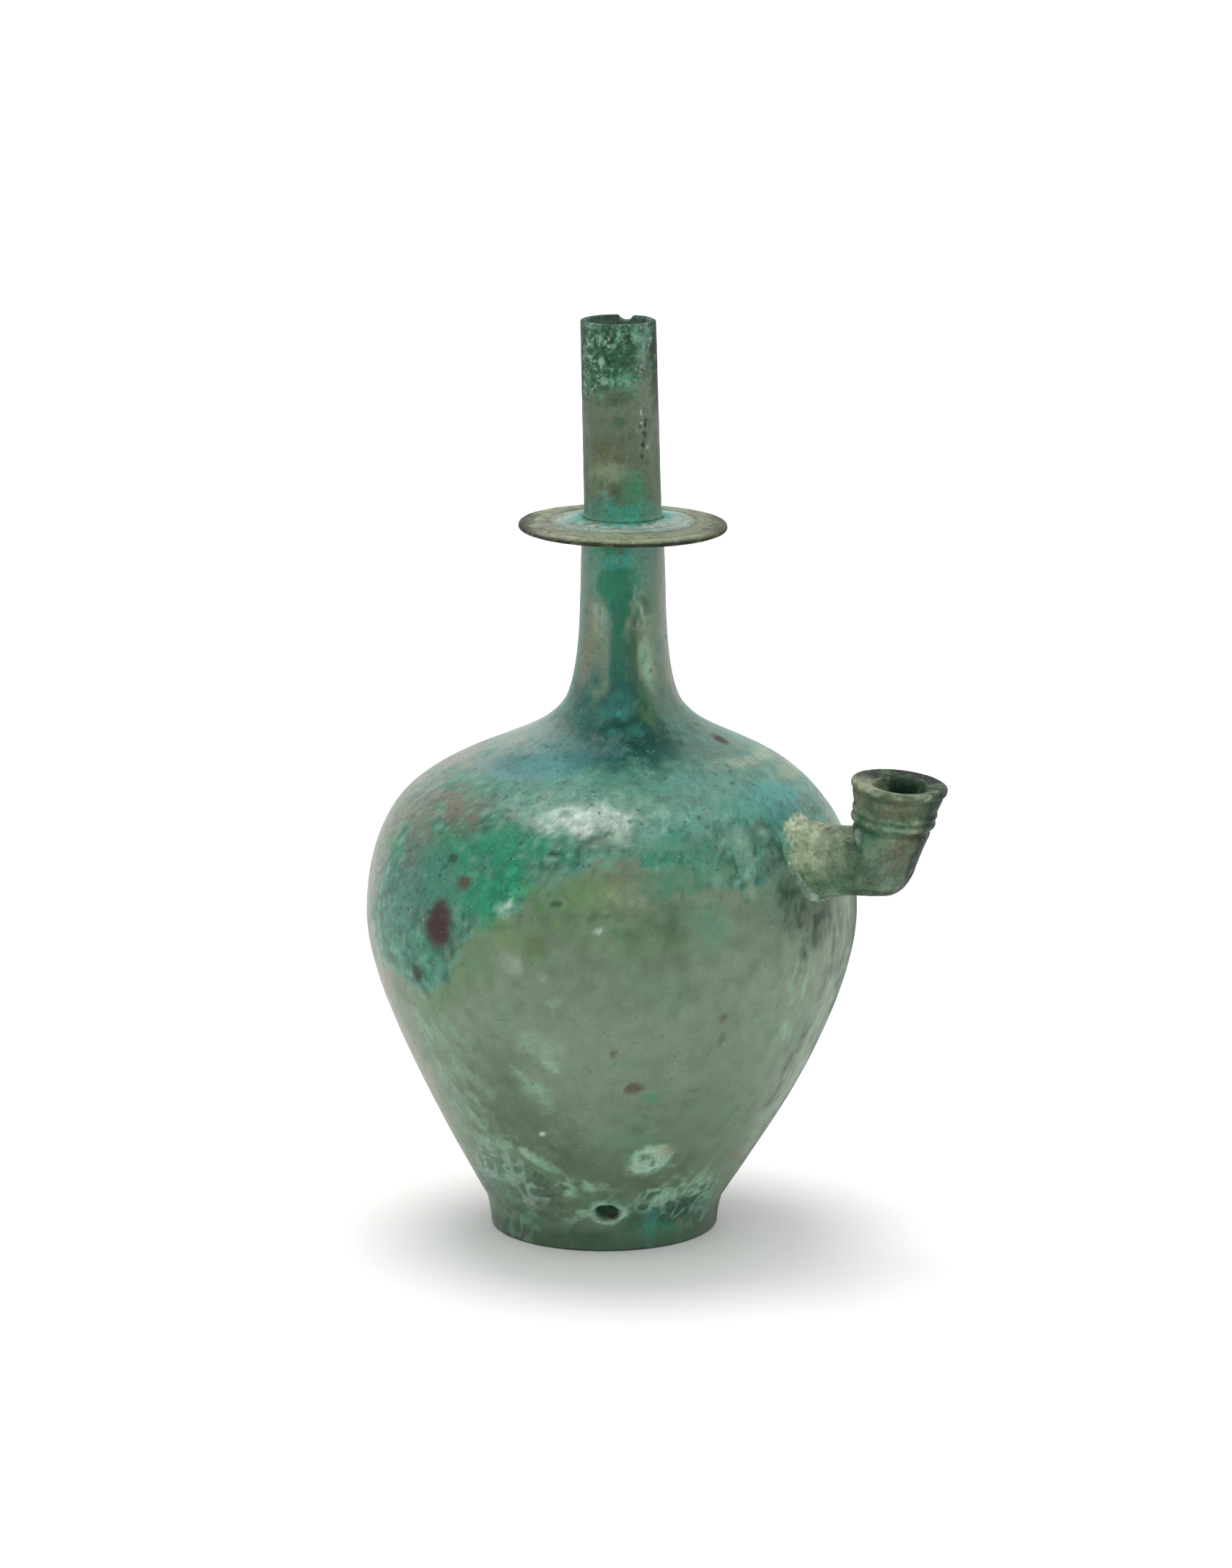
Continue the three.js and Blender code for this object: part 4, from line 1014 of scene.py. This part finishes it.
def coat_spout(piece):
    """Patina of the spout: olive and khaki, pale raised rings, a dark green groove with painted shade
    beneath the collar ring, a pale crust on the root and a mottled lip. Painted shade darkens the
    arm's underside, the right side, the lip's far side and the bore, and painted light brightens the
    bore's left side."""
    coat = Coat(piece, "olive", roughness=0.5, grit=0.7, lift=0.02)
    offset = coat.points - ELBOW
    up = offset @ CUP_WAY
    middle = offset - up[:, None] * CUP_WAY - (up * math.tan(math.radians(CUP_SKEW)))[:, None] * CUP_OUT
    radius = np.linalg.norm(middle, axis=1)
    inner = np.arange(len(up)) >= (ARM_ROWS + BEND_ROWS + len(CUP_OUTSIDE)) * SPOUT_COLUMNS
    cup = smoothstep(7.0, 9.5, up) * (radius < 13.6)
    small, tiny = field(coat.points, 3.0, 83), field(coat.points, 1.5, 84)
    coat.speckle(np.ones(len(up)), "deep olive", 0.35)
    coat.lay(0.5 * smoothstep(-0.1, 0.7, field(coat.points, 6.0, 81)), "deep olive")
    coat.lay(0.4 * smoothstep(0.1, 0.8, field(coat.points, 4.0, 82)), "grey green")
    coat.lay(0.75 * cup * smoothstep(15.3, 16.5, up), "khaki")
    coat.lay(0.45 * smoothstep(0.1, 0.5, small), "dark malachite")
    coat.lay(0.35 * smoothstep(0.1, 0.5, -small), "pale olive")
    coat.lay(0.35 * smoothstep(0.25, 0.6, tiny), "dark green")
    # the dark green band at 10.1 is a groove with painted shade beneath the collar ring
    for far, wide, colour, strength in ((12.0, 0.6, "mint", 0.55), (14.5, 0.5, "pale olive", 0.4),
                                        (10.1, 0.8, "dark green", 0.95),
                                        (13.3, 0.35, "dark green", 0.7), (15.8, 0.4, "khaki", 0.6),
                                        (19.6, 0.5, "dark green", 0.9), (21.6, 0.8, "pale olive", 1.0)):
        band = np.exp(-((up - far + 0.35 * coat.ragged) / wide) ** 2) * (radius > 7.6)
        coat.lay(strength * band * (0.75 + 0.5 * coat.patchy), colour)
    for place, size, colour, strength, kind in SPOUT_MARKS:
        apart = np.linalg.norm(coat.points - np.array(place), axis=1) / size
        rough, edge = (0.4, 0.3) if kind == "spot" else (0.6, 0.6)
        mask = oval(apart, 0.0 * apart, coat.ragged, rough, edge)
        if kind in ("blotch", "wisps"):
            mask = mask * (0.4 + 0.6 * smoothstep(-0.35, 0.25, coat.patchy))
        if kind == "specks":
            coat.speckle(mask, colour, strength)
        else:
            coat.lay(strength * mask, colour)
    root = smoothstep(72.0, 66.0, coat.points[:, 0] + 4.0 * coat.ragged) * smoothstep(104.0, 109.0, coat.points[:, 2])
    coat.lay(0.8 * root * smoothstep(-0.4, 0.1, coat.patchy), "yellow green")
    coat.lay(0.85 * root * smoothstep(-0.1, 0.3, -coat.patchy), "cream")
    coat.lay(0.5 * root * smoothstep(0.3, 0.6, tiny), "deep olive")
    # painted shade: dark green and ink along the underside of the arm and elbow
    under = smoothstep(105.6, 103.2, coat.points[:, 2] + 0.8 * coat.ragged) * smoothstep(74, 80, coat.points[:, 0])
    coat.lay(0.85 * under, "dark green")
    coat.lay(0.5 * under, "ink")
    # painted shade: dark green and ink on the spout's right side as seen from the camera
    aside = np.where(up[:, None] > 0, middle, offset)
    painted_right_shade = (aside @ np.array([0.866, 0.5, 0.0])) / np.maximum(np.linalg.norm(aside, axis=1), 1.0)
    painted_right_shade = smoothstep(0.48, 0.84, painted_right_shade + 0.12 * coat.ragged) * (coat.points[:, 0] > 80)
    coat.lay(0.75 * painted_right_shade, "dark green")
    coat.lay(0.92 * painted_right_shade, "ink")
    lip = smoothstep(20.6, 21.4, up) * (radius > 7.6)
    coat.lay(0.5 * lip * smoothstep(0.2, 0.6, tiny), "dark green")
    coat.lay(0.3 * lip * smoothstep(0.0, 0.5, -tiny), "cream")
    # painted shade: ink on the far side of the lip, away from the camera
    away = smoothstep(-0.2, 0.7, (middle @ np.array([-0.5, 0.866, 0.0])) / np.maximum(radius, 1.0))
    coat.lay(0.95 * lip * away, "ink")
    # painted shade down the bore, darker deeper in, and painted light: pale olive on the bore's left side as seen
    # from the camera
    coat.lay(0.95 * inner, "dark green", [0.6, 0.6, 0.0])
    coat.lay(0.7 * inner * smoothstep(21.5, 16.0, up), "ink")
    lit = smoothstep(0.1, 0.9, (middle @ np.array([-0.866, -0.5, 0.0])) / np.maximum(radius, 1.0)
                     + 0.5 * coat.ragged)
    coat.lay(0.85 * inner * lit * smoothstep(14.0, 18.0, up), "pale olive")
    coat.store()


def make_solder():
    """Lumpy solder round the spout's root, as one closed ring. Its top surface lies on the
    vessel's wall at the outer edge and climbs the arm at the inner edge: the height over the wall
    grows as a power of the share of the way in, and random fields vary both its width and its
    height. The under side runs back inside the wall."""
    turn = round_turn(300)
    way = np.linspace(0.0, 1.0, 34)[:, None]
    round_field = np.stack([30 * np.cos(turn), 30 * np.sin(turn), 0 * turn], axis=-1)
    low = 0.5 + 0.5 * np.cos(turn)
    front = 0.5 - 0.5 * np.sin(turn)
    width = ((2.6 + 1.2 * field(round_field, 9.0, 91) + 0.5 * field(round_field, 3.4, 92))
             * (1 - 0.5 * low) * (0.4 + 0.8 * front))
    climb = (3.0 + 1.5 * field(round_field, 8.0, 93) + 0.7 * field(round_field, 3.0, 94)) * (1 - 0.4 * low)
    inner = ARM_RADIUS - 0.6

    def ring(radius, height):
        offset = radius[..., None] * (np.cos(turn)[:, None] * ARM_OUT + np.sin(turn)[:, None] * SIDE)
        back = root_distance(offset, 0.0)
        return ELBOW + offset + (back + height)[..., None] * ARM_WAY

    radius = (ARM_RADIUS + ROOT_FLARE + width) * (1 - way) + inner * way
    height = -0.35 + (climb + 0.35) * way ** 2.2
    top = ring(radius, height)
    lumps = 0.35 * field(top, 3.0, 95) + 0.15 * field(top, 1.4, 96) + 0.05 * field(top, 0.7, 97)
    top = ring(radius, height + (lumps + 0.15) * np.sin(np.pi * way))
    below = ring(np.array([inner, inner + 1.0])[:, None] + 0 * turn, np.full((2, 1), -1.6) + 0 * turn)
    far = ring((ARM_RADIUS + width * 0.9)[None, :], np.full((1, 1), -1.6) + 0 * turn)
    return grid_piece("spout_solder", np.concatenate([top, below, far]), ring=True)


def coat_solder(piece):
    """Patina of the solder: pale yellow-green crust above with cream and red-brown bits, fading to
    the wall's teal at its edge, and a pale grey-green band below."""
    coat = Coat(piece, "pale olive", roughness=0.6, grit=1.0, fleck=0.1, lift=0.01)
    offset = coat.points - ELBOW
    low = smoothstep(1.0, -6.0, offset[:, 2] + 2.0 * coat.ragged)
    near = np.linalg.norm(offset - (offset @ ARM_WAY)[:, None] * ARM_WAY, axis=1)
    coat.speckle(np.ones(len(near)), "cream", 0.15)
    coat.lay(0.7 * smoothstep(-0.3, 0.5, field(coat.points, 3.4, 101)) * (1 - low), "yellow green")
    coat.lay(0.95 * smoothstep(-0.5, 0.2, field(coat.points, 2.6, 106)) * (1 - low), "cream")
    coat.lay(0.6 * smoothstep(0.3, 0.6, field(coat.points, 1.8, 109)) * (1 - low), "pale mint")
    coat.lay(0.9 * low, "grey green")
    coat.lay(0.6 * low * smoothstep(0.0, 0.5, field(coat.points, 2.2, 108)), "cool grey")
    coat.lay(0.6 * low * smoothstep(0.0, 0.6, field(coat.points, 3.0, 107)), "sea green")
    coat.lay(0.5 * smoothstep(0.2, 0.7, field(coat.points, 2.4, 102)), "sea green")
    coat.lay(0.6 * smoothstep(0.35, 0.8, field(coat.points, 2.8, 103)) * (1 - low), "brown pink")
    coat.lay(0.5 * smoothstep(0.4, 0.9, field(coat.points, 2.0, 104)), "deep olive")
    coat.lay(0.6 * smoothstep(0.6, 0.9, field(coat.points, 2.2, 105)) * (1 - low), "rust")
    edge = smoothstep(-1.2, 1.2, near - ARM_RADIUS - 2.4 + 2.0 * coat.ragged)
    coat.lay(0.8 * edge * (1 - low), "teal")
    coat.lay(0.6 * edge * low, "grey green")
    coat.store()


# Materials
# ---- materials --------------------------------------------------------------------------------
def placed(tree, kind, inputs=None, **settings):
    """A node of a kind, with its own settings, and its sockets set to values or linked."""
    node = tree.nodes.new(kind)
    for name, value in settings.items():
        setattr(node, name, value)
    for name, value in (inputs or {}).items():
        if isinstance(value, bpy.types.NodeSocket):
            tree.links.new(value, node.inputs[name])
        else:
            node.inputs[name].default_value = value
    return node


def new_group(name, inputs, outputs):
    """An empty node group with named inputs and outputs; gives the tree and its two end nodes."""
    tree = bpy.data.node_groups.new(name, "ShaderNodeTree")
    for label, kind, value in inputs:
        socket = tree.interface.new_socket(label, in_out="INPUT", socket_type=kind)
        if value is not None:
            socket.default_value = value
    for label, kind in outputs:
        tree.interface.new_socket(label, in_out="OUTPUT", socket_type=kind)
    return tree, tree.nodes.new("NodeGroupInput"), tree.nodes.new("NodeGroupOutput")


def math_node(tree, operation, first, second=None, clamp=False):
    """Result of one sum on one or two values or sockets."""
    inputs = {0: first} if second is None else {0: first, 1: second}
    return placed(tree, "ShaderNodeMath", inputs, operation=operation, use_clamp=clamp).outputs[0]


def ramp(tree, value, low, high):
    """0 to 1 as a value goes from low to high, smoothly."""
    node = placed(tree, "ShaderNodeMapRange", {"Value": value, "From Min": low, "From Max": high},
                  interpolation_type="SMOOTHSTEP")
    return node.outputs["Result"]


def noise(tree, vector, scale, detail=3.0, roughness=0.55):
    """Value of a noise texture, scale in cells per metre."""
    return placed(tree, "ShaderNodeTexNoise", {"Vector": vector, "Scale": scale, "Detail": detail,
                                               "Roughness": roughness}).outputs["Fac"]


def mottle_group():
    """Fine mottling: the colour lightens and darkens with two noises, the finer one where the
    surface is gritty."""
    tree, given, made = new_group(
        "fine_mottle",
        [("Colour", "NodeSocketColor", None), ("Place", "NodeSocketVector", None),
         ("Grit", "NodeSocketFloat", 0.5), ("Strength", "NodeSocketFloat", 0.5)],
        [("Colour", "NodeSocketColor")])
    soft = noise(tree, given.outputs["Place"], 260.0)
    sharp = noise(tree, given.outputs["Place"], 1000.0, 4.0, 0.6)
    soft = math_node(tree, "MULTIPLY", math_node(tree, "SUBTRACT", soft, 0.5), 1.1)
    sharp = math_node(tree, "MULTIPLY", math_node(tree, "SUBTRACT", sharp, 0.5),
                      math_node(tree, "MULTIPLY_ADD", given.outputs["Grit"], 2.2))
    both = math_node(tree, "MULTIPLY", math_node(tree, "ADD", soft, sharp), given.outputs["Strength"])
    gain = math_node(tree, "ADD", both, 1.0)
    packed = placed(tree, "ShaderNodeCombineXYZ", {"X": gain, "Y": gain, "Z": gain}).outputs[0]
    scaled = placed(tree, "ShaderNodeVectorMath", {0: given.outputs["Colour"], 1: packed},
                    operation="MULTIPLY")
    tree.links.new(scaled.outputs[0], made.inputs["Colour"])
    return tree


def speckle_group():
    """Irregular specks: 1 where a fine noise, raised by half of the share, passes a limit. The
    share rises and falls over a slower noise, so that the specks stand in clusters."""
    tree, given, made = new_group(
        "speckle",
        [("Place", "NodeSocketVector", None), ("Share", "NodeSocketFloat", 0.3),
         ("Scale", "NodeSocketFloat", 600.0), ("Shift", "NodeSocketFloat", 0.0)],
        [("Mask", "NodeSocketFloat")])
    moved = placed(tree, "ShaderNodeVectorMath", {0: given.outputs["Place"], 1: given.outputs["Shift"]})
    fine = noise(tree, moved.outputs[0], given.outputs["Scale"], 4.0, 0.65)
    slower = noise(tree, moved.outputs[0], math_node(tree, "MULTIPLY", given.outputs["Scale"], 0.2))
    cluster = math_node(tree, "ADD", ramp(tree, slower, 0.36, 0.62), 0.35)
    share = math_node(tree, "MULTIPLY", given.outputs["Share"], cluster)
    level = math_node(tree, "ADD", fine, math_node(tree, "MULTIPLY", share, 0.45))
    tree.links.new(ramp(tree, level, 0.64, 0.78), made.inputs["Mask"])
    return tree


def relief_group():
    """Height of the fine surface: grains, slow hammer waves and the specks' bumps and pits."""
    tree, given, made = new_group(
        "patina_relief",
        [("Place", "NodeSocketVector", None), ("Grit", "NodeSocketFloat", 0.5),
         ("Crystals", "NodeSocketFloat", 0.0), ("Pits", "NodeSocketFloat", 0.0)],
        [("Height", "NodeSocketFloat")])
    slow = noise(tree, given.outputs["Place"], 160.0, 2.0)
    fine = noise(tree, given.outputs["Place"], 900.0, 5.0, 0.65)
    grains = math_node(tree, "MULTIPLY", fine, math_node(tree, "ADD", given.outputs["Grit"], 0.08))
    total = math_node(tree, "ADD", grains, math_node(tree, "MULTIPLY", slow, 0.35))
    total = math_node(tree, "ADD", total, math_node(tree, "MULTIPLY", given.outputs["Crystals"], 0.3))
    total = math_node(tree, "SUBTRACT", total, math_node(tree, "MULTIPLY", given.outputs["Pits"], 0.4))
    tree.links.new(total, made.inputs["Height"])
    return tree


MOTTLE, SPECKLE, RELIEF = mottle_group(), speckle_group(), relief_group()


def patina_material(name, strength, metallic, gloss, crystal, pit):
    """Patinated bronze: the coat's colour, mottled, with the coat's specks and with pale crystals
    and dark pits, and the coat's roughness and grit for its gloss and its bumps."""
    material = bpy.data.materials.new(name)
    material.use_nodes = True
    tree = material.node_tree
    shader = tree.nodes["Principled BSDF"]
    place = placed(tree, "ShaderNodeTexCoord").outputs["Object"]
    coat = placed(tree, "ShaderNodeAttribute", attribute_name="patina").outputs["Color"]
    specks = placed(tree, "ShaderNodeAttribute", attribute_name="specks").outputs["Color"]
    share = placed(tree, "ShaderNodeAttribute", attribute_name="speck_share").outputs["Fac"]
    finish = placed(tree, "ShaderNodeAttribute", attribute_name="finish").outputs["Color"]
    roughness, grit, flecks = placed(tree, "ShaderNodeSeparateColor", {"Color": finish}).outputs

    def group(kind, inputs):
        node = placed(tree, "ShaderNodeGroup", node_tree=kind)
        for label, value in inputs.items():
            if isinstance(value, bpy.types.NodeSocket):
                tree.links.new(value, node.inputs[label])
            else:
                node.inputs[label].default_value = value
        return node.outputs

    crystals = group(SPECKLE, {"Place": place, "Share": flecks, "Scale": 900.0, "Shift": 3.1})["Mask"]
    pits = group(SPECKLE, {"Place": place, "Share": flecks, "Scale": 700.0, "Shift": 7.7})["Mask"]
    grains = group(SPECKLE, {"Place": place, "Share": share, "Scale": 440.0})["Mask"]
    colour = coat
    for mask, shade, cover in ((grains, specks, 0.8), (crystals, crystal, 0.5), (pits, pit, 0.6)):
        mix = placed(tree, "ShaderNodeMix", data_type="RGBA")
        tree.links.new(math_node(tree, "MULTIPLY", mask, cover), mix.inputs[0])
        tree.links.new(colour, mix.inputs[6])
        if shade is specks:
            tree.links.new(shade, mix.inputs[7])
        else:
            mix.inputs[7].default_value = (*held(TONES[shade]), 1.0)
        colour = mix.outputs[2]
    colour = group(MOTTLE, {"Colour": colour, "Place": place, "Grit": grit, "Strength": strength})["Colour"]
    tree.links.new(colour, shader.inputs["Base Color"])
    rough = math_node(tree, "MULTIPLY_ADD", noise(tree, place, 420.0, 4.0), 0.22)
    tree.links.new(roughness, rough.node.inputs[2])
    tree.links.new(math_node(tree, "SUBTRACT", rough, 0.11), shader.inputs["Roughness"])
    relief = group(RELIEF, {"Place": place, "Grit": grit, "Crystals": crystals, "Pits": pits})["Height"]
    bump = placed(tree, "ShaderNodeBump", {"Height": relief, "Strength": 0.55, "Distance": 0.0006})
    tree.links.new(bump.outputs["Normal"], shader.inputs["Normal"])
    shader.inputs["Metallic"].default_value = metallic
    shader.inputs["IOR"].default_value = 1.5
    shader.inputs["Specular IOR Level"].default_value = gloss
    return material


# The pieces
# ---- the pieces -------------------------------------------------------------------------------
def finished(piece, node, material):
    """Gives a piece its body and its material, and hides the solid that it replaces."""
    piece.data.materials.append(material)
    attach(piece, "root")
    if node:
        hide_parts(node)
    return piece


body = make_body()
bored(body, (ELBOW - 26.0 * ARM_WAY).tolist(), (ELBOW - 12.0 * ARM_WAY).tolist(), BORE_RADIUS)
coat_body(body)
finished(body, "body", patina_material("body_patina", 0.4, 0.03, 0.36, "pale mint", "ink"))

disc = make_disc()
coat_disc(disc)
finished(disc, "flange_disc", patina_material("disc_patina", 0.6, 0.0, 0.2, "pale mint", "dark green"))

tube = make_tube()
coat_tube(tube)
finished(tube, "mouth_tube", patina_material("tube_patina", 0.55, 0.0, 0.2, "pale mint", "ink"))

spout = make_spout()
coat_spout(spout)
finished(spout, "side_spout", patina_material("spout_patina", 0.6, 0.0, 0.15, "cream", "ink"))

solder = make_solder()
coat_solder(solder)
finished(solder, None, patina_material("solder_patina", 0.6, 0.0, 0.3, "pale mint", "brown"))


# ---- stage, light and camera ------------------------------------------------------------------
def make_stage():
    """Plain pale floor."""
    mesh = bpy.data.meshes.new("floor")
    far = 6.0
    mesh.from_pydata([(-far, -far, 0), (far, -far, 0), (far, far, 0), (-far, far, 0)], [], [(0, 1, 2, 3)])
    floor = bpy.data.objects.new("floor", mesh)
    bpy.context.scene.collection.objects.link(floor)
    material = bpy.data.materials.new("pale_floor")
    material.use_nodes = True
    shader = material.node_tree.nodes["Principled BSDF"]
    shader.inputs["Base Color"].default_value = (0.93, 0.93, 0.92, 1.0)
    shader.inputs["Roughness"].default_value = 0.7
    mesh.materials.append(material)


def overhead_light():
    """A broad soft light from above and a little behind, and a white room all round."""
    data = bpy.data.lights.new("softbox_above", "SUN")
    data.energy, data.angle = 1.3, math.radians(32.0)
    light = bpy.data.objects.new("softbox_above", data)
    light.rotation_mode = "QUATERNION"
    light.rotation_quaternion = Vector((-0.167, 0.133, 0.977)).to_track_quat("Z", "Y")
    light.location = (-0.17, 0.13, 1.0)
    bpy.context.scene.collection.objects.link(light)
    world = bpy.data.worlds.new("studio")
    bpy.context.scene.world = world
    world.use_nodes = True
    world.node_tree.nodes["Background"].inputs["Color"].default_value = (1.0, 1.0, 1.0, 1.0)
    world.node_tree.nodes["Background"].inputs["Strength"].default_value = 0.95


make_stage()
overhead_light()
bpy.context.scene.view_settings.view_transform = "Standard"

camera_data = bpy.data.cameras.new("camera")
camera_data.lens, camera_data.sensor_width = 151.78, 36.0
camera_data.clip_start, camera_data.clip_end = 0.05, 50.0
camera = bpy.data.objects.new("camera", camera_data)
camera.location = (0.875, -1.5155, 0.51505)
camera.rotation_mode = "QUATERNION"
camera.rotation_quaternion = (Vector((0.002807, 0.00162, 0.12285)) - camera.location).to_track_quat("-Z", "Y")
bpy.context.scene.collection.objects.link(camera)
bpy.context.scene.camera = camera
